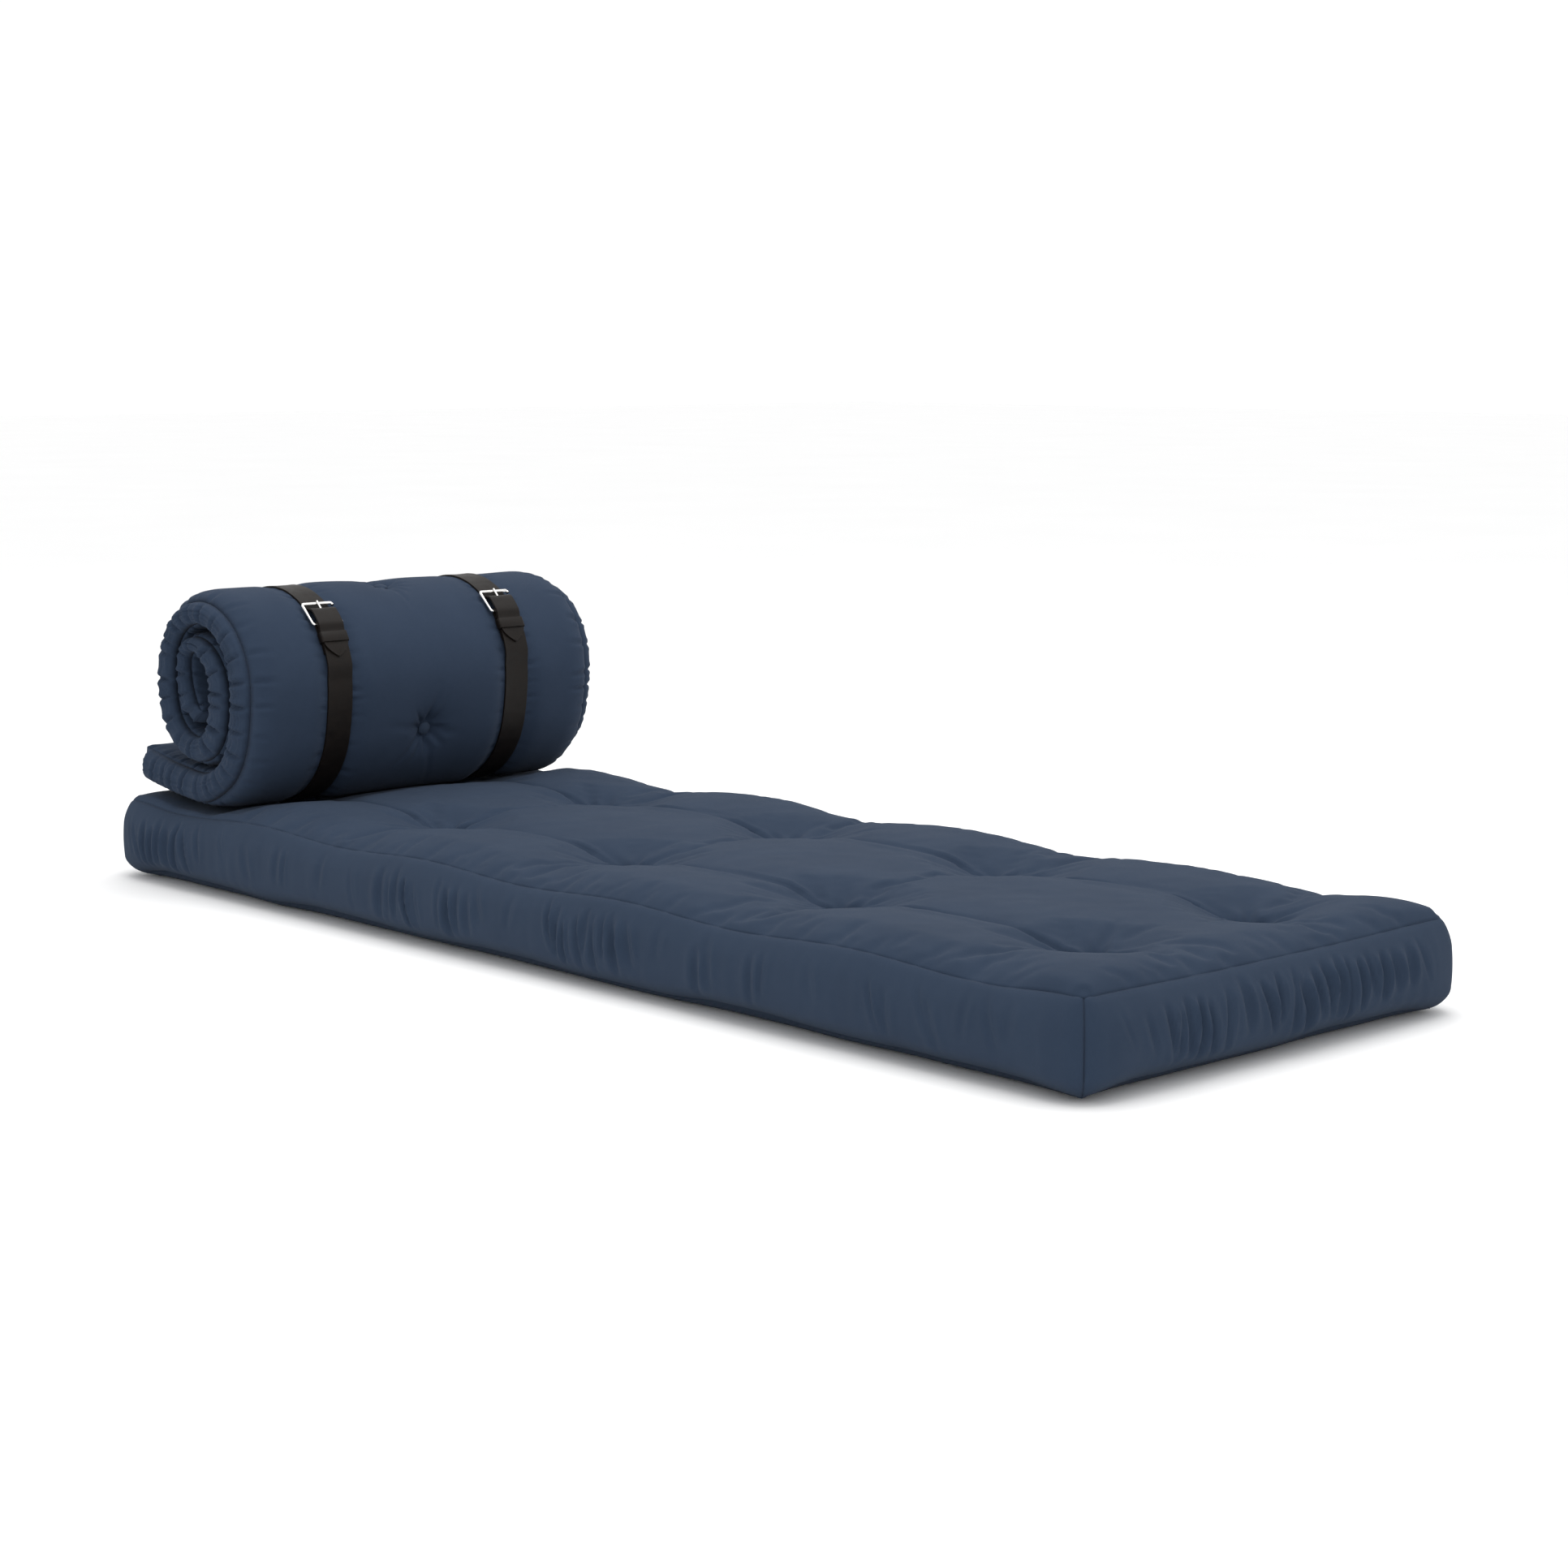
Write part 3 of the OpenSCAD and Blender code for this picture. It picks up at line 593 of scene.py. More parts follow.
FOOT_GATHERS = [(0.06, 0.2), (0.10, 0.25), (0.135, 0.9), (0.15, 0.8), (0.165, 0.9), (0.185, 0.7), (0.205, 0.6),
                (0.235, 0.6), (0.27, 0.7), (0.31, 0.7), (0.33, 0.8), (0.36, 0.7), (0.38, 0.9), (0.405, 0.8),
                (0.425, 1.0), (0.445, 0.9), (0.465, 0.9), (0.49, 0.8), (0.51, 0.6), (0.535, 0.7), (0.56, 0.5),
                (0.59, 0.6), (0.62, 0.3)]


def gathers(random, places, gain):
    """Upright creases of a border from its (place, strength) list, each with a finer one beside it."""
    made = []
    for place, strength in places:
        lean = random.uniform(-0.006, 0.026)
        top = random.uniform(0.090, 0.113)
        length = (0.048 + 0.036 * strength) * random.uniform(0.75, 1.2)
        low = max(0.024, top - length)
        made.append((place - lean / 2, top, place + lean / 2, low,
                     0.0062 * gain * strength * random.uniform(0.55, 1.15), random.uniform(0.0030, 0.0060)))
        beside = place + random.uniform(0.006, 0.010)
        made.append((beside - lean / 3, top - 0.006, beside + lean / 3, low + 0.012,
                     0.0022 * gain * strength, 0.0024))
    return made


def border_walk(name):
    """Plan points, outward directions and distances along one border, from corner seam to corner seam."""
    long_side = name in (NEAR, FAR)
    flat = 2 * ((HALF_L if long_side else HALF_W) - CORNER_R)
    half_corner = CORNER_R * math.pi / 4
    length = flat + 2 * half_corner
    u = np.linspace(0, length, round(length / 0.0033) + 1)
    turn = (np.maximum(u - half_corner - flat, 0) - np.maximum(half_corner - u, 0)) / CORNER_R
    along = np.clip(u - half_corner, 0, flat) - flat / 2
    out = (HALF_W if long_side else HALF_L) - CORNER_R
    point = np.stack([along + CORNER_R * np.sin(turn), -out - CORNER_R * np.cos(turn)], -1)
    normal = np.stack([np.sin(turn), -np.cos(turn)], -1)
    quarter = {NEAR: 0, "foot": 1, FAR: 2, "head": 3}[name]
    c, s = math.cos(quarter * math.pi / 2), math.sin(quarter * math.pi / 2)
    spin = np.array([[c, s], [-s, c]])
    return point @ spin, normal @ spin, u - (length - flat) / 2 - flat / 2, length


def square_plan(point):
    """The square-plan place of a point on the rounded outline, so that both sides of a seam agree."""
    x, y = point[..., 0], point[..., 1]
    qx = np.maximum(np.abs(x) - (HALF_L - CORNER_R), 0)
    qy = np.maximum(np.abs(y) - (HALF_W - CORNER_R), 0)
    grow = np.where((qx > 0) & (qy > 0), CORNER_R / np.maximum(np.maximum(qx, qy), 1e-9), 1)
    return (np.sign(x) * (np.abs(x) - qx + qx * grow), np.sign(y) * (np.abs(y) - qy + qy * grow))


def low_seam_height(x, y):
    """Height of the bottom edge seam: it lifts beside each tuft and touches down between them."""
    lift = 0.0105 + 0.0050 * (1 - lump(x)) * ease((np.abs(y) - 0.2) / 0.1)
    lift = lift + 0.0038 * soft_noise(x + 3, y + 3, 0.10, 21)
    return lift * (0.35 + 0.65 * ease(np.maximum(HALF_L - np.abs(x), HALF_W - np.abs(y)) / 0.11))


def border_points(name, random):
    """Points of one border: rows go up, columns along. Also their flat places."""
    point, normal, along, length = border_walk(name)
    sx, sy = square_plan(point)
    top, low = seam_height(sx, sy), low_seam_height(sx, sy)
    f = np.linspace(0, 1, 41)[None, :]
    z = low[:, None] + (top - low)[:, None] * f
    u = np.broadcast_to(along[:, None], z.shape)
    places = {NEAR: [(p - HALF_L, s) for p, s in NEAR_GATHERS], "foot": [(p - HALF_W, s) for p, s in FOOT_GATHERS],
              FAR: [(HALF_L - p + 0.03, s) for p, s in NEAR_GATHERS],
              "head": [(HALF_W - p, s) for p, s in FOOT_GATHERS]}[name]
    creases = gathers(random, places, 1.6 if name in ("foot", "head") else 1.4)
    fullness = np.sin(math.pi * np.clip(f, 0, 1) ** 0.85) ** 0.62
    corner = ease((length / 2 - np.abs(u)) / 0.05)
    swell = (0.0150 + 0.0015 * soft_noise(u, z, 0.11, 31)) * fullness * (0.62 + 0.38 * corner)
    swell = swell - UNDER_IN * np.clip(1 - f / 0.22, 0, 1) ** 1.7 - TOP_IN * np.clip(1 - (1 - f) / 0.3, 0, 1) ** 1.7
    pinch = folds(u, z, creases, middle=True) * np.clip(fullness * 1.3, 0, 1)
    ripple = 0.0007 * soft_noise(u, z * 0.25, 0.014, 33) * fullness
    out = swell + (pinch + ripple) * corner - 0.0018 * np.exp(-((1 - f) * 0.115 / 0.003) ** 2)
    out -= 0.0018 * np.exp(-(f * 0.115 / 0.003) ** 2) + 0.002 * np.exp(-((length / 2 - np.abs(u)) / 0.003) ** 2)
    points = np.concatenate([point[:, None, :] + normal[:, None, :] * out[..., None], z[..., None]], -1)
    return points, np.stack([u, z], -1)


def under_panel():
    """Points of the bottom panel: flat on the floor, lifted at its edges and drawn up at the tufts."""
    x, y = np.meshgrid(ruled([-HALF_L, *TUFTS_X, HALF_L], 0.0085),
                       ruled([-HALF_W, -TUFT_Y, TUFT_Y, HALF_W], 0.0085), indexing="ij")
    edge_gap = np.minimum(HALF_L - np.abs(x), HALF_W - np.abs(y))
    z = low_seam_height(x, y) * (1 - ease(edge_gap / 0.050)) ** 1.3
    for tx, ty in TUFTS:
        r = np.hypot(x - tx, y - ty)
        z = np.maximum(z, 0.0122 * np.exp(-(np.maximum(r - 0.0125, 0) / 0.012) ** 1.6))
    px, py = rounded_plan(x, y)
    px, py = tucked(px, py, UNDER_IN)
    return np.stack([px, py, z], -1), np.stack([x, y], -1)


def lofted_slab(name, upper, lower, material):
    """A closed solid between two surfaces on the same grid."""
    rows, columns = upper.shape[:2]
    count = rows * columns
    index = np.arange(count).reshape(rows, columns)
    top = grid_faces(rows, columns)
    rim = np.concatenate([index[:, 0], index[-1, 1:], index[-2::-1, -1], index[0, -2:0:-1]])
    after = np.roll(rim, -1)
    walls = np.stack([rim + count, after + count, after, rim], -1)
    faces = np.concatenate([top, top[:, ::-1] + count, walls])
    return mesh_piece(name, np.concatenate([upper.reshape(-1, 3), lower.reshape(-1, 3)]), faces, None, material)


def inside_cover(panel, foam_high):
    """A layer with a panel's form, drawn in a little at the edges, and which of its points lie over the foam."""
    layer = panel.copy()
    reach = np.abs(layer[..., :2]) / np.array([HALF_L, HALF_W])
    layer[..., :2] *= np.where(reach > 0.97, 1 - 0.008 * (reach - 0.97) / 0.03, 1)
    over_foam = (np.abs(layer[..., 0]) < foam_high.x + 0.006) & (np.abs(layer[..., 1]) < foam_high.y + 0.006)
    return layer, over_foam


def build_mattress():
    random = np.random.RandomState(7)
    top, top_flat = mattress_top(random)
    panel = mesh_piece("mattress_top_cover", top, grid_faces(*top.shape[:2]), top_flat, COVER)
    give_thickness(panel, FABRIC_T)
    settle(panel, "mattress", "cover_fabric", "mattress_top_panel", fill=0.75)
    for name in (NEAR, "foot", FAR, "head"):
        points, flat = border_points(name, random)
        side = mesh_piece(f"mattress_side_{name}", points, grid_faces(*points.shape[:2]), flat, COVER)
        give_thickness(side, FABRIC_T)
        settle(side, "mattress", "cover_fabric", f"mattress_border_{name}", fill=0.75)
    under, under_flat = under_panel()
    base = mesh_piece("mattress_underside", under, grid_faces(*under.shape[:2])[:, ::-1], under_flat, COVER)
    give_thickness(base, FABRIC_T)
    settle(base, "mattress", "cover_fabric", "mattress_bottom_panel", fill=0.75)

    foam_low, foam_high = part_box("mattress_foam_core")
    parting = (foam_low.z + foam_high.z) / 2
    batt, over_foam = inside_cover(top[::3, ::3], foam_high)
    batt[..., 2] = lowest_near(top[..., 2], 4)[::3, ::3]
    for tx, ty in TUFTS:
        batt[..., 2] -= 0.014 * np.exp(-(np.hypot(batt[..., 0] - tx, batt[..., 1] - ty) / 0.040) ** 4)
    lining = batt.copy()
    lining[..., 2] = np.where(over_foam, foam_high.z + 0.0003, parting + 0.0003)
    batt[..., 2] = np.maximum(batt[..., 2] - 0.0035, lining[..., 2] + 0.0003)
    upper = lofted_slab("mattress_batt_upper", batt, lining, COTTON)
    settle(upper, "mattress", "wadding", "mattress_wadding_upper", fill=0.7)

    bed, over_foam = inside_cover(under, foam_high)
    ceiling = bed.copy()
    ceiling[..., 2] = np.where(over_foam, foam_low.z - 0.0003, parting - 0.0003)
    bed[..., 2] += 0.0030
    lower = lofted_slab("mattress_batt_lower", ceiling, bed, COTTON)
    settle(lower, "mattress", "wadding", "mattress_wadding_lower", fill=0.7)


# ------------------------------------------------------------------ the rolled mat

class Spiral:
    """Middle line of the rolled mat in the XZ plane, from its free end inwards: arcs of
    (length in mm, turn in degrees, mat thickness in mm where the arc starts)."""

    ARCS = [(160, 8, 62), (160, 81, 61), (70, 13, 62), (170, 85, 62), (135, 85, 55), (70, 19, 52),
            (110, 78, 54), (80, 78, 52), (50, 16, 57), (100, 82, 58), (43, 88, 38), (94, 46, 34)]
    END_THICKNESS = 44
    START_X, START_Z, START_HEADING = -0.975, 0.181, math.radians(-12.5)

    def __init__(self):
        arcs = np.array(self.ARCS, float)
        self.length, self.turn = arcs[:, 0] / 1000, np.radians(arcs[:, 1])
        self.thickness = np.append(arcs[:, 2], self.END_THICKNESS) / 1000
        self.start = np.concatenate([[0], np.cumsum(self.length)])
        self.heading = self.START_HEADING + np.concatenate([[0], np.cumsum(self.turn)])
        self.radius = self.length / self.turn
        h = self.heading
        self.x = self.START_X + np.concatenate([[0], np.cumsum(self.radius * (np.sin(h[1:]) - np.sin(h[:-1])))])
        self.z = self.START_Z + np.concatenate([[0], np.cumsum(self.radius * (np.cos(h[:-1]) - np.cos(h[1:])))])

    @property
    def end(self):
        return self.start[-1]

    def _arc(self, s):
        return np.clip(np.searchsorted(self.start, s, "right") - 1, 0, len(self.length) - 1)

    def heading_at(self, s):
        s = np.asarray(s, float)
        i = self._arc(s)
        return self.heading[i] + self.turn[i] * (s - self.start[i]) / self.length[i]

    def half_at(self, s):
        s = np.asarray(s, float)
        i = self._arc(s)
        f = np.clip((s - self.start[i]) / self.length[i], 0, 1)
        return (self.thickness[i] * (1 - f) + self.thickness[i + 1] * f) / 2

    def place(self, s, w):
        """The (x, z) point at distance s along the mat and w outwards from its middle line."""
        s = np.asarray(s, float)
        i, h = self._arc(s), self.heading_at(s)
        x = self.x[i] + self.radius[i] * (np.sin(h) - np.sin(self.heading[i])) + w * np.sin(h)
        z = self.z[i] + self.radius[i] * (np.cos(self.heading[i]) - np.cos(h)) - w * np.cos(h)
        return x, z

    def above(self, s, v):
        """The (x, z) point at height v above the mat's outer face."""
        return self.place(s, self.half_at(s) + v)


ROLL = Spiral()
MAT_HALF_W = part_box("mat_outer_panel")[1].y
MAT_TUFTS = [0.315 + 0.240 * i for i in range(4)]
MAT_POCKET = 0.008
BELT_HALF_W = (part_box("belt_near")[1].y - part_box("belt_near")[0].y) / 2
EDGE_DROP = 0.0065      # each face of the mat falls by this much to its edge seams
OUTER_DROP = 0.0065     # and the outer face by this much more where nothing lies on it


def beside_belts(y):
    """0 under the belts and 1 clear of them."""
    gap = np.min([np.maximum(np.abs(y - by) - BELT_HALF_W - 0.001, 0) for by in BELT_Y.values()], 0)
    return 1 - np.exp(-(gap / 0.016) ** 2)


def open_air(s):
    """1 where the outer face is on the outside of the roll, clear of the mattress and of the free end."""
    return ease((s - 0.165) / 0.06) * (1 - ease((s - 0.655) / 0.06))


def edge_fall(s, y):
    """How far the faces have fallen, from 0 inside to 1 on the edge seams."""
    side = 1 - shoulder(MAT_HALF_W - np.abs(y), 0.042)
    end = 1 - shoulder(np.minimum(s, ROLL.end - s), 0.030)
    return np.maximum(side, end * (0.4 + 0.6 * beside_belts(y)) * 0.8)


def outer_drop(s):
    """How far the edge seam of the outer face lies under that face."""
    return EDGE_DROP + OUTER_DROP * open_air(s)


def rib_places(random):
    """Places along the mat where its edge gathers."""
    places, s = [], 0.012
    while s < ROLL.end - 0.01:
        places.append((s, random.uniform(0.45, 1.0)))
        s += random.uniform(0.022, 0.042)
    return places


def face_creases(random, ribs, side_y):
    """Short creases that run from an edge seam onto a face."""
    inward = -math.copysign(1, side_y)
    return [(s, side_y, s + random.uniform(-0.006, 0.006), side_y + inward * random.uniform(0.024, 0.052),
             0.0065 * strength, random.uniform(0.0024, 0.0036)) for s, strength in ribs]


def belt_creases(random):
    """Small creases where the belts nip the cloth."""
    made = []
    for by in BELT_Y.values():
        for side in (-1, 1):
            s = 0.20
            while s < 0.66:
                y = by + side * (BELT_HALF_W + 0.0035)
                made.append((s, y, s + random.uniform(-0.004, 0.004), y + side * random.uniform(0.014, 0.034),
                             random.uniform(0.0014, 0.0036), random.uniform(0.0020, 0.0032)))
                s += random.uniform(0.014, 0.045)
    return made


def mat_face(outer, random, ribs):
    """Points of one face of the mat, and their places on the flat cloth. Rows run along the mat."""
    y_lines = ruled([-MAT_HALF_W, -MAT_HALF_W + 0.045, 0, MAT_HALF_W - 0.045, MAT_HALF_W], 0.0034)
    s, y = np.meshgrid(ruled([0, *MAT_TUFTS, ROLL.end], 0.0036), y_lines, indexing="ij")
    half = ROLL.half_at(s)
    rise = -(outer_drop(s) if outer else EDGE_DROP) * edge_fall(s, y)
    clear = beside_belts(y)
    if outer:
        air = open_air(s)
        middle = np.abs(y) < abs(BELT_Y[NEAR])
        height = 0.0100 - 0.0068 * ease((s - 0.37) / 0.10) * (0.75 + 0.45 * ease((y + 0.1) / 0.3))
        crown = np.where(middle, height, 0.75 * height) * air * clear
        rise = rise + crown * (1 - edge_fall(s, y)) + 0.0011 * soft_noise(s, y + 1, 0.075, 41) * air * clear
        rise = rise + folds(s, y, belt_creases(random)) * air
    else:
        air = np.zeros(s.shape)
    rise = rise - 0.0008 * (soft_noise(s, y + 1, 0.05, 43 + outer) + 1) * (1 - air) * clear
    creases = [c for by, places in zip((-MAT_HALF_W, MAT_HALF_W), ribs) for c in face_creases(random, places, by)]
    for ts in MAT_TUFTS:
        creases += spokes(random, ts, 0, 9, 0.036, 0.0048, 0.0026, start=0.012)
        creases += spokes(random, ts, 0, 5, 0.080, 0.0026, 0.0038, start=0.014)
        r = np.hypot(s - ts, y)
        pull = 0.3 * np.exp(-(r / 0.050) ** 2) + 0.7 * np.exp(-(np.maximum(r - 0.0115, 0) / 0.014) ** 1.6)
        rise = rise + (-MAT_POCKET - 0.0004 - rise) * np.clip(pull / 0.985, 0, 1)
    tuft_gap = np.min([np.hypot(s - ts, y) for ts in MAT_TUFTS], 0)
    edge_gap = np.minimum(MAT_HALF_W - np.abs(y), np.minimum(s, ROLL.end - s))
    rise = rise + folds(s, y, creases) * np.clip((tuft_gap - 0.011) / 0.004, 0, 1) * ease(edge_gap / 0.0055)
    rise = rise - 0.0007 * np.exp(-(edge_gap / 0.0022) ** 2)
    x, z = ROLL.place(s, (half + rise) * (1 if outer else -1))
    return np.stack([x, y, z], -1), np.stack([s, y], -1)


def seam_levels(s, y):
    """Heights of the inner and the outer edge seam about the mat's middle line."""
    half, fall = ROLL.half_at(s) - 0.0007, edge_fall(s, y)
    return EDGE_DROP * fall - half, half - outer_drop(s) * fall


def mat_side(side, random, ribs):
    """Points of the strip that closes one long edge of the mat."""
    s, f = np.meshgrid(ruled([0, ROLL.end], 0.0030), np.linspace(-1, 1, 25), indexing="ij")
    edge_y = np.full(s.shape, MAT_HALF_W)
    bulge, depth = (0.0165, 0.0090) if side < 0 else (0.0245, 0.0055)
    low, high = seam_levels(s, edge_y)
    w = (low + high) / 2 + (high - low) / 2 * f
    full = np.sqrt(np.maximum(1 - f ** 2, 0)) ** 0.8
    end = ease(np.minimum(s, ROLL.end - s) / 0.02)
    creases = [(p - 0.001, -0.030, p + random.uniform(-0.006, 0.006), 0.030, depth * strength,
                random.uniform(0.0022, 0.0038)) for p, strength in ribs]
    out = bulge + 0.0015 * soft_noise(s, f + 3, 0.05, 51) + 0.0005 * soft_noise(s, w, 0.009, 53)
    out = (out + folds(s, w, creases, middle=True)) * full * end
    out = out - 0.0006 * np.exp(-((1 - np.abs(f)) * 0.02 / 0.0020) ** 2)
    x, z = ROLL.place(s, w)
    return np.stack([x, side * (MAT_HALF_W + out), z], -1), np.stack([s, w], -1)


def mat_end(s_end, outwards, random):
    """Points of the strip that closes one end of the mat."""
    y, f = np.meshgrid(ruled([-MAT_HALF_W, MAT_HALF_W], 0.0035), np.linspace(-1, 1, 21), indexing="ij")
    s = np.full(y.shape, s_end)
    low, high = seam_levels(s, y)
    w = (low + high) / 2 + (high - low) / 2 * f
    full = np.sqrt(np.maximum(1 - f ** 2, 0))
    corner = ease((MAT_HALF_W - np.abs(y)) / 0.02)
    places = np.arange(-0.30, 0.31, 0.024) + random.uniform(-0.007, 0.007, 26)
    creases = [(p, -0.022, p + random.uniform(-0.005, 0.005), 0.022, random.uniform(0.001, 0.003), 0.0030)
               for p in places]
    out = (0.0085 * full * corner + folds(y, w, creases, middle=True) * full) * beside_belts(y)
    x, z = ROLL.place(s + outwards * out, w)
    return np.stack([x, y, z], -1), np.stack([y, w], -1)


def mat_stuffing():
    """Cotton inside the mat: the same form, a little smaller, closed at both ends."""
    stations = ruled([0.005, ROLL.end - 0.005], 0.0098)
    across = np.concatenate([np.linspace(-1, 1, 61), np.linspace(1, -1, 61)[1:-1]])
    level = np.concatenate([np.full(61, -1.0), np.full(59, 1.0)])
    s, q = np.meshgrid(stations, across, indexing="ij")
    y = q * (MAT_HALF_W - 0.003)
    inset = 0.0042 + 0.0015 * (np.abs(q) > 0.97)
    half = ROLL.half_at(s) - np.where(level > 0, outer_drop(s), EDGE_DROP) * edge_fall(s, y) - inset
    for ts in MAT_TUFTS:
        half = half - (MAT_POCKET + 0.003) * np.exp(-(np.hypot(s - ts, y) / 0.042) ** 4)
    w = half * level[None, :]
    x, z = ROLL.place(s, w)
    rows, columns = s.shape
    index = np.arange(rows * columns).reshape(rows, columns)
    walls = np.stack([index[:-1], np.roll(index, -1, 1)[:-1], np.roll(index, -1, 1)[1:], index[1:]], -1)
    faces = [list(f) for f in walls.reshape(-1, 4)]
    for row, turn in ((index[0], 1), (index[-1], -1)):
        cap = [[row[k], row[-k % columns], row[(-k - 1) % columns], row[k + 1]] for k in range(1, 59)]
        cap = [[row[0], row[-1], row[1]], *cap, [row[59], row[61], row[60]]]
        faces += [c[::turn] for c in cap]
    return np.stack([x, y, z], -1), faces


def build_mat():
    random = np.random.RandomState(19)
    ribs = [rib_places(random) for _ in range(2)]
    outer, outer_flat = mat_face(True, random, ribs)
    inner, inner_flat = mat_face(False, random, ribs)
    near, near_flat = mat_side(-1, random, ribs[0])
    far, far_flat = mat_side(1, random, ribs[1])
    free, free_flat = mat_end(0.0, -1, random)
    core, core_flat = mat_end(ROLL.end, 1, random)
    sheets = [("mat_outer_cover", outer, outer_flat, True, "mat_outer_panel"),
              ("mat_inner_cover", inner, inner_flat, False, "mat_inner_panel"),
              ("mat_side_near", near, near_flat, True, "mat_border_near"),
              ("mat_side_far", far, far_flat, False, "mat_border_far"),
              ("mat_free_end", free, free_flat, False, "mat_border_free_end"),
              ("mat_core_end", core, core_flat, True, "mat_border_core_end")]
    for name, points, flat, turned, node in sheets:
        faces = grid_faces(*points.shape[:2])
        piece = mesh_piece(name, points, faces[:, ::-1] if turned else faces, flat, MAT_COVER)
        give_thickness(piece, FABRIC_T)
        settle(piece, "roll", "mat_fabric", node, fill=0.7)
    points, faces = mat_stuffing()
    stuffing = mesh_piece("mat_stuffing", points, faces, None, COTTON)
    settle(stuffing, "roll", "wadding", "mat_filling", fill=0.7)


# ------------------------------------------------------------------ the belts

BELT_T = 0.0025
# Places along the mat of the belt's tip, the keeper, the frame's end and front bars, the end of the folded
# back part, and where the belt leaves the roll. Then heights above the mat: lying on it, of the folded back
# part, of the layer over that, of the free end, of the frame, and of the free end where it crests the bar.
TIP_S, KEEPER_S, BAR_S, FRONT_S, TONGUE_S, LEAVE_S = 0.425, 0.449, 0.467, 0.498, 0.429, 0.732
REST_V, TONGUE_V, MAIN_V, TAIL_V, BAR_V, CREST_V = 0.00175, 0.00375, 0.00655, 0.00935, 0.00735, 0.0138
BAR_R = 0.0022
FOLD_R = BAR_R + 0.00015 + BELT_T / 2
TIP_L = 0.026
KEEPER_T = 0.0018
BAR_AT = np.array(ROLL.above(BAR_S, BAR_V))
FRONT_AT = np.array(ROLL.above(FRONT_S, BAR_V))
FRAME_L = float(np.hypot(*(FRONT_AT - BAR_AT)))
FRAME_SLOPE = math.atan2(BAR_AT[1] - FRONT_AT[1], BAR_AT[0] - FRONT_AT[0])


def tail_height(s):
    climb = TAIL_V + (CREST_V - TAIL_V) * ease((s - (BAR_S - 0.011)) / 0.009)
    fall = CREST_V - (CREST_V - REST_V) * ease((s - (FRONT_S - 0.014)) / 0.011)
    return np.where(s < BAR_S, climb, fall)


def main_height(s):
    return (REST_V + (MAIN_V - REST_V) * ease((s - 0.396) / 0.022)
            + (BAR_V + FOLD_R - MAIN_V) * ease((s - (BAR_S - 0.011)) / 0.010))


def arc_points(centre, radius, angles):
    a = np.radians(angles)
    return np.stack([centre[0] + radius * np.cos(a), centre[1] + radius * np.sin(a)], -1)


def even_path(points, step, rounds):
    """The same path with evenly spaced points, its kinks smoothed."""
    for _ in range(rounds):
        gaps = np.hypot(*np.diff(points, axis=0).T)
        run = np.concatenate([[0], np.cumsum(gaps)])
        even = np.linspace(0, run[-1], round(run[-1] / step) + 1)
        points = np.stack([np.interp(even, run, points[:, k]) for k in range(2)], -1)
        points[1:-1] = 0.25 * points[:-2] + 0.5 * points[1:-1] + 0.25 * points[2:]
    return points, even


def belt_path():
    """Middle line of a belt: from its tip up over the roll, round the mat's free end, under the roll and up
    its front to the buckle, with the fold round the end bar and the end that is folded back."""
    at = lambda s, height: np.stack(ROLL.above(s, height), -1)
    tail = np.arange(TIP_S, FRONT_S + 0.008, 0.001)
    back = np.arange(FRONT_S + 0.010, LEAVE_S, 0.004)
    start_half = float(ROLL.half_at(0.0))
    upper_corner = ROLL.place(0.0, -start_half)
    lower_corner = ROLL.place(0.0, start_half)
    front = np.arange(0.004, 0.392, 0.004)
    climb = np.arange(0.393, BAR_S - 0.0005, 0.001)
    heading = math.degrees(float(ROLL.heading_at(BAR_S))) - 90
    tongue = np.arange(BAR_S - 0.0045, TONGUE_S, -0.001)
    return np.concatenate([
        at(tail, tail_height(tail)), at(back, np.full(back.shape, REST_V)),
        arc_points(upper_corner, REST_V, [162]), arc_points(lower_corner, REST_V, np.arange(167.5, 258, 15)),
        at(front, np.full(front.shape, REST_V)), at(climb, main_height(climb)),
        arc_points(BAR_AT, FOLD_R, heading + np.arange(0, 181, 15)), at(tongue, np.full(tongue.shape, TONGUE_V))])


def in_bar_frame(points):
    """Places beside the end bar: down the belt, and outwards from the roll."""
    c, s = math.cos(FRAME_SLOPE), math.sin(FRAME_SLOPE)
    d = points - BAR_AT
    return d[:, 0] * c + d[:, 1] * s, -d[:, 0] * s + d[:, 1] * c


def add_wall(piece, thickness, offset, edge_width):
    """Gives a sheet of leather its thickness and breaks its cut edges."""
    wall = piece.modifiers.new("wall", "SOLIDIFY")
    wall.thickness = thickness
    wall.offset = offset
    wall.use_even_offset = False
    edges = piece.modifiers.new("edges", "BEVEL")
    edges.width = edge_width
    edges.segments = 2
    edges.limit_method = "ANGLE"
    edges.angle_limit = math.radians(50)
    apply_modifiers(piece)
    face_outwards(piece)


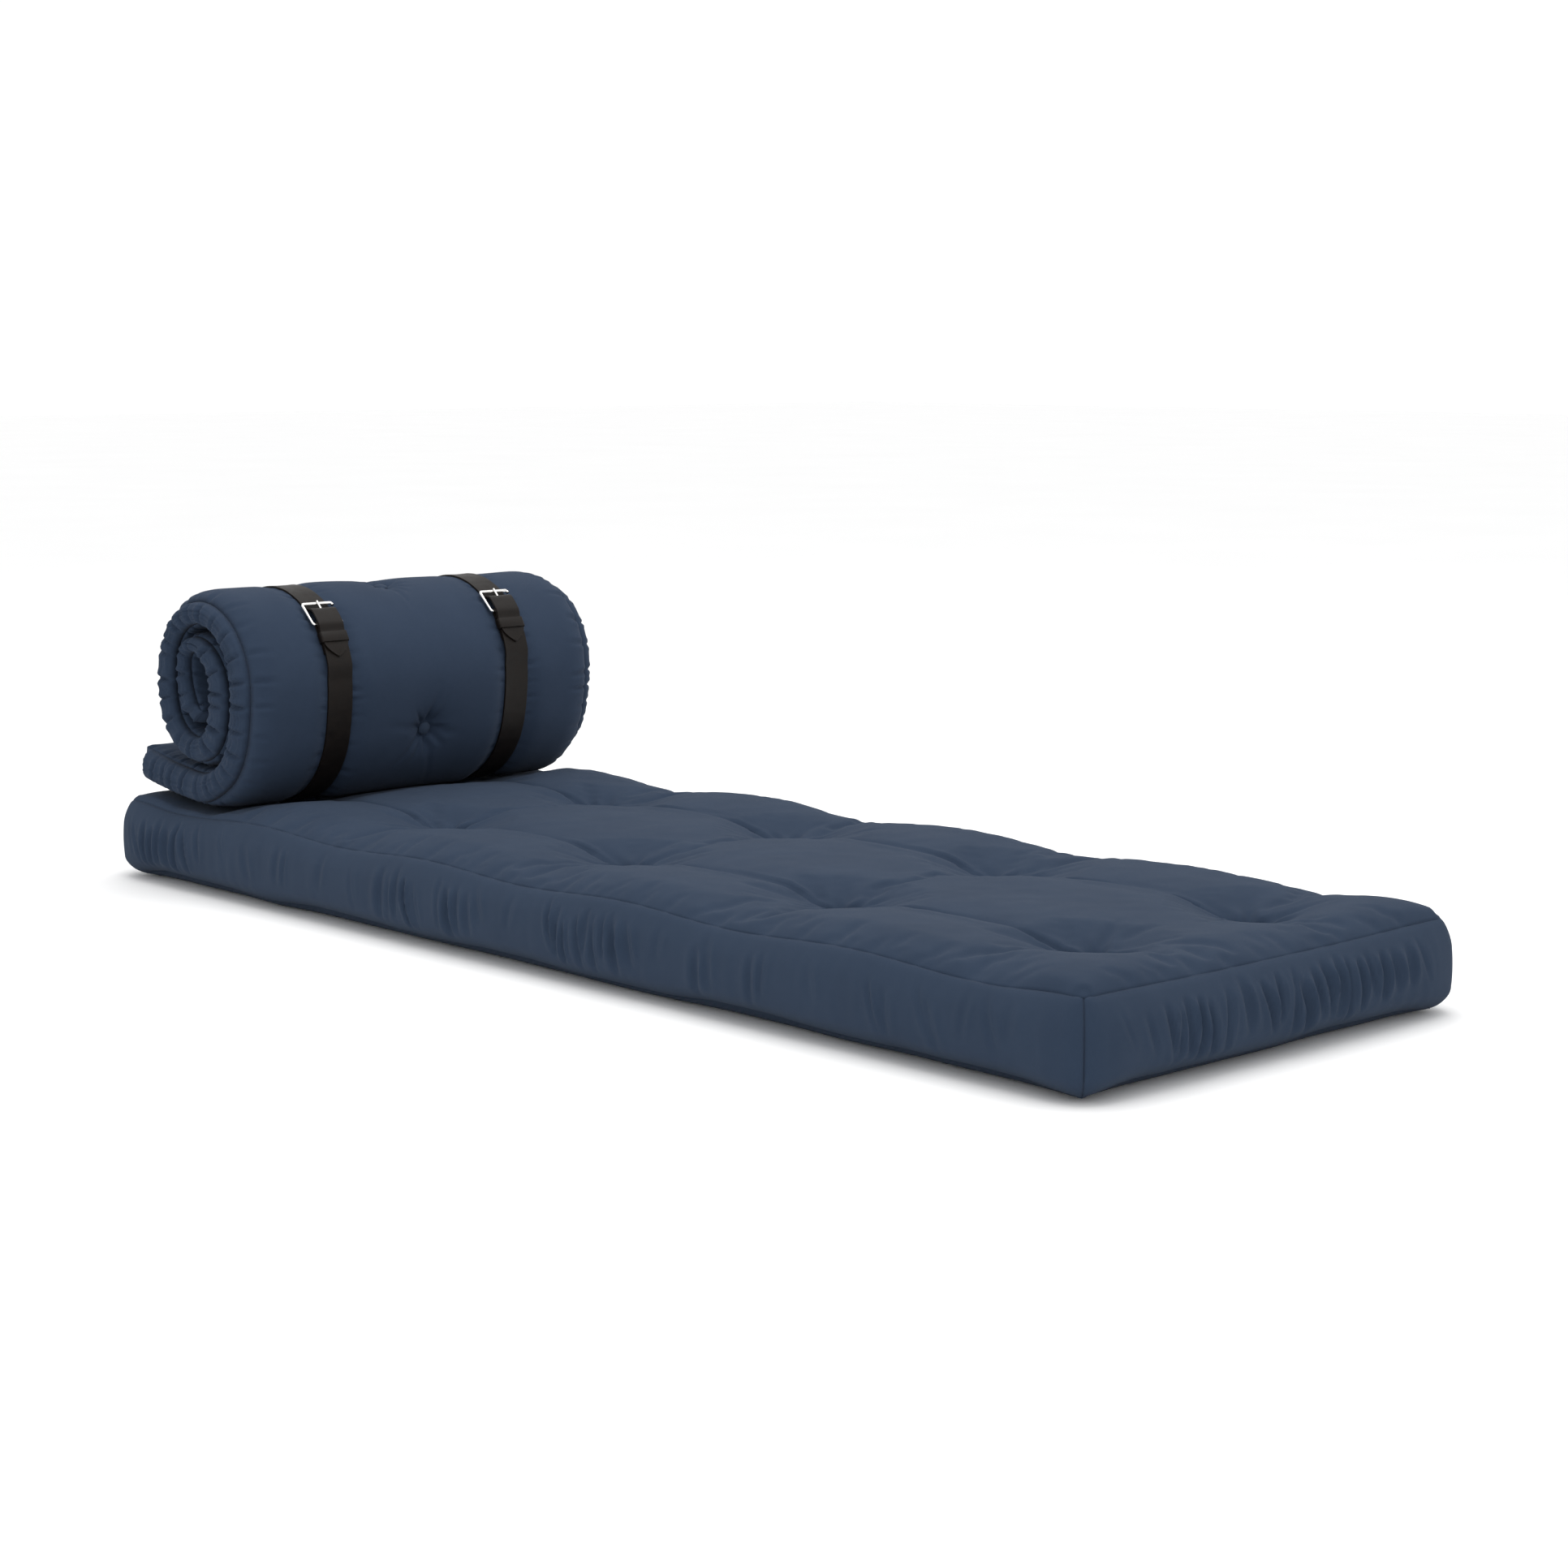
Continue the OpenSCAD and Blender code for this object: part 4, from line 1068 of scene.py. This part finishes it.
def build_belt(side):
    points, run = even_path(belt_path(), 0.0016, 3)
    slope = np.gradient(points, axis=0)
    slope /= np.linalg.norm(slope, axis=1)[:, None]
    away = np.stack([slope[:, 1], -slope[:, 0]], -1)
    along_tip = np.clip(run / TIP_L, 0, 1)
    width = BELT_HALF_W * (2 * along_tip - along_tip ** 2)
    width = np.maximum(width, 0.0012 * np.sqrt(np.clip(run / 0.0012, 0.3, 1)))
    slot = 0.0016
    q = np.array([-1, -0.95, -0.85, -0.62, -0.38, -slot / BELT_HALF_W, 0.0])
    q = np.concatenate([q, -q[-2::-1]])
    wear = 0.00022 * soft_noise(run[:, None] + 0 * q, 3 + 0.02 * q[None, :], 0.012, 61 + (side == FAR))
    cup = 0.0005 * (q[None, :] ** 2 - 0.4)
    lift = (cup + wear)[..., None]
    plan = points[:, None, :] + lift * away[:, None, :]
    y = BELT_Y[side] + width[:, None] * q[None, :]
    grid = np.stack([plan[..., 0], y, plan[..., 1]], -1)
    down, out = in_bar_frame(points)
    late = run > run[-1] * 0.5
    eye = late & (np.hypot(down, out) < FOLD_R + 0.0012)
    hole = ~late & (down > 0.0007 - FRAME_L) & (down < 0.0042 - FRAME_L) & (out > -0.0045)
    cut = (eye | hole)[:-1, None] & (np.abs(q[:-1] + q[1:]) / 2 < slot / BELT_HALF_W)[None, :]
    faces = grid_faces(*grid.shape[:2]).reshape(len(run) - 1, len(q) - 1, 4)[~cut]
    flat = np.stack([np.broadcast_to(run[:, None], y.shape), y - BELT_Y[side]], -1)
    piece = mesh_piece(f"belt_leather_{side}", grid, faces, flat, LEATHER)
    add_wall(piece, BELT_T, 0, 0.0007)
    settle(piece, "roll", "belt_leather", f"belt_{side}")


def edit(piece, step):
    """Runs mesh operators on all of a piece in edit mode."""
    bpy.ops.object.select_all(action="DESELECT")
    piece.select_set(True)
    bpy.context.view_layer.objects.active = piece
    bpy.ops.object.mode_set(mode="EDIT")
    bpy.ops.mesh.select_all(action="SELECT")
    step()
    bpy.ops.object.mode_set(mode="OBJECT")


def face_outwards(piece):
    edit(piece, lambda: bpy.ops.mesh.normals_make_consistent(inside=False))


def new_primitive(name, add):
    bpy.ops.object.select_all(action="DESELECT")
    add()
    piece = bpy.context.active_object
    piece.name = piece.data.name = name
    bpy.ops.object.transform_apply(location=True, rotation=True, scale=True)
    return piece


def place_mesh(piece, matrix):
    piece.data.transform(matrix)
    piece.data.update()


def leaning(point, direction_x, y):
    """Matrix that puts local x along direction_x in the XZ plane, z outwards from the roll, at point."""
    c, s = direction_x
    return Matrix(((c, 0, -s, point[0]), (0, 1, 0, y), (s, 0, c, point[1]), (0, 0, 0, 1)))


def round_long_edges(loop, length):
    """Rounds the four edges of a box that run along x, and leaves its faces ready to be picked."""
    bpy.ops.object.mode_set(mode="EDIT")
    bpy.ops.mesh.select_mode(type="EDGE")
    bpy.ops.mesh.select_all(action="DESELECT")
    bpy.ops.object.mode_set(mode="OBJECT")
    mesh = loop.data
    for edge in mesh.edges:
        a, b = (mesh.vertices[i].co for i in edge.vertices)
        edge.select = abs(a.x - b.x) > length / 2
    bpy.ops.object.mode_set(mode="EDIT")
    bpy.ops.mesh.bevel(offset=0.0034, segments=4, affect="EDGES")
    bpy.ops.mesh.select_mode(type="FACE")
    bpy.ops.mesh.select_all(action="DESELECT")
    bpy.ops.object.mode_set(mode="OBJECT")


def build_keeper(side):
    """A loop of leather round all the layers."""
    low, high = 0.0006, TAIL_V + BELT_T / 2 + 0.0005 + KEEPER_T
    length, width = 0.0165, 2 * (BELT_HALF_W + 0.0007 + KEEPER_T)
    loop = new_primitive("keeper_loop", lambda: bpy.ops.mesh.primitive_cube_add(
        size=1, location=(0, 0, (low + high) / 2), scale=(length, width, high - low)))
    round_long_edges(loop, length)
    for face in loop.data.polygons:
        face.select = abs(face.normal.x) > 0.9
    bpy.ops.object.mode_set(mode="EDIT")
    bpy.ops.mesh.delete(type="FACE")
    bpy.ops.object.mode_set(mode="OBJECT")
    add_wall(loop, KEEPER_T, -1, 0.0004)
    heading = float(ROLL.heading_at(KEEPER_S))
    place_mesh(loop, leaning(ROLL.above(KEEPER_S, 0.0), (-math.cos(heading), -math.sin(heading)), BELT_Y[side]))
    loop.name = loop.data.name = f"keeper_leather_{side}"
    loop.data.materials.append(LEATHER)
    loop.data.shade_smooth()
    settle(loop, f"keeper_{side}", "belt_leather", f"keeper_{side}")


def build_frame(side):
    """The nickel frame: a round bar bent into a rectangle, heavier along its front."""
    half = (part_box(f"buckle_frame_{side}")[1].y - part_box(f"buckle_frame_{side}")[0].y) / 2 - BAR_R
    bend = 0.004
    ring = new_primitive(f"buckle_{side}", lambda: bpy.ops.mesh.primitive_circle_add(
        vertices=20, radius=BAR_R, location=(-FRAME_L / 2, half, 0), rotation=(0, math.pi / 2, 0)))

    def pull(x, y, parts=4):
        for _ in range(parts):
            bpy.ops.mesh.extrude_region_move(TRANSFORM_OT_translate={"value": (x / parts, y / parts, 0)})

    def corner(x, y):
        bpy.ops.mesh.spin(steps=7, angle=math.pi / 2, center=(x, y, 0), axis=(0, 0, -1))

    def walk():
        pull(-(FRAME_L / 2 - bend), 0)
        corner(bend - FRAME_L, half - bend)
        pull(0, -2 * (half - bend), 10)
        corner(bend - FRAME_L, bend - half)
        pull(FRAME_L - 2 * bend, 0, 8)
        corner(-bend, bend - half)
        pull(0, 2 * (half - bend), 10)
        corner(-bend, half - bend)
        pull(-(FRAME_L / 2 - bend), 0)
        bpy.ops.mesh.select_all(action="SELECT")
        bpy.ops.mesh.remove_doubles(threshold=0.00005)
        bpy.ops.mesh.normals_make_consistent(inside=False)

    edit(ring, walk)
    for vertex in ring.data.vertices:
        x, y, z = vertex.co
        front = float(ease((-x - (FRAME_L - 0.012)) / 0.010))
        flare = front * (1 + 0.5 * float(ease((abs(y) - half + 0.012) / 0.010)))
        vertex.co = (x - 0.0008 * flare * (x < -FRAME_L), y * (1 + 0.018 * flare), z * (1 + 0.25 * front))
    place_mesh(ring, leaning(BAR_AT, (math.cos(FRAME_SLOPE), math.sin(FRAME_SLOPE)), BELT_Y[side]))
    ring.data.materials.append(NICKEL)
    ring.data.shade_smooth()
    settle(ring, f"buckle_{side}", "buckle_nickel", f"buckle_frame_{side}")


# ------------------------------------------------------------------ buttons and what stays from the frame

def button_model():
    """A covered button, domed, with the cloth drawn in below its rim. It stands on its origin, facing +Z."""
    dome = new_primitive("button_model", lambda: bpy.ops.mesh.primitive_uv_sphere_add(
        segments=36, ring_count=18, radius=BUTTON_R, location=(0, 0, 0)))
    edit(dome, lambda: bpy.ops.transform.resize(value=(1, 1, 0.44)))
    for vertex in dome.data.vertices:
        x, y, z = vertex.co
        r = math.hypot(x, y)
        gather = 0.00022 * math.cos(11 * math.atan2(y, x)) * (r / BUTTON_R) ** 4 if z < 0.001 else 0
        vertex.co = (x * (1 + gather / BUTTON_R), y * (1 + gather / BUTTON_R), max(z, -0.0002) + 0.0002)
    dome.data.shade_smooth()
    return dome


def build_buttons(name, node, body, slot, places):
    """One object with a copy of the button at each (point, facing)."""
    model = bpy.data.objects["button_model"]
    copies = []
    for point, facing in places:
        copy = model.copy()
        copy.data = model.data.copy()
        bpy.context.scene.collection.objects.link(copy)
        turn = Vector(facing).to_track_quat("Z", "Y").to_matrix().to_4x4()
        place_mesh(copy, Matrix.Translation(point) @ turn)
        copies.append(copy)
    bpy.ops.object.select_all(action="DESELECT")
    for copy in copies:
        copy.select_set(True)
    bpy.context.view_layer.objects.active = copies[0]
    bpy.ops.object.join()
    piece = copies[0]
    piece.name = piece.data.name = name
    piece.data.materials.append(BUTTON_CLOTH)
    settle(piece, body, slot, node)


def build_all_buttons():
    model = button_model()
    top_z = BUTTONS_LOW.z
    low_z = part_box("mattress_buttons_bottom")[1].z
    build_buttons("mattress_tufts_top", "mattress_buttons_top", "mattress", "button_fabric",
                  [((x, y, top_z), (0, 0, 1)) for x, y in TUFTS])
    build_buttons("mattress_tufts_under", "mattress_buttons_bottom", "mattress", "button_fabric",
                  [((x, y, low_z), (0, 0, -1)) for x, y in TUFTS])
    for name, side in (("outer", 1), ("inner", -1)):
        places = []
        for s in MAT_TUFTS:
            h = float(ROLL.heading_at(s))
            x, z = ROLL.place(s, side * (float(ROLL.half_at(s)) - MAT_POCKET + 0.0002))
            places.append(((float(x), 0, float(z)), (side * math.sin(h), 0, -side * math.cos(h))))
        build_buttons(f"mat_tufts_{name}", f"mat_buttons_{name}", "roll", "button_fabric", places)
    bpy.data.objects.remove(model)


def finish_frame_nodes():
    """Gives the pieces that stay as they are their finishes."""
    for name, material in [("mattress_foam_core", FOAM), ("mattress_tuft_twine", TWINE), ("mat_tuft_twine", TWINE),
                           *[(f"belt_thread_{side}", THREAD) for side in (NEAR, FAR)],
                           *[(f"buckle_prong_{side}", NICKEL) for side in (NEAR, FAR)]]:
        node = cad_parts[name]
        node.data.materials.clear()
        node.data.materials.append(material)


def build_floor():
    floor = new_primitive("floor", lambda: bpy.ops.mesh.primitive_plane_add(size=60, location=(0, 0, 0)))
    floor.data.materials.append(floor_paint("studio_floor"))


set_camera()
set_studio()
build_floor()
build_mattress()
build_mat()
for side in (NEAR, FAR):
    build_belt(side)
    build_keeper(side)
    build_frame(side)
build_all_buttons()
finish_frame_nodes()
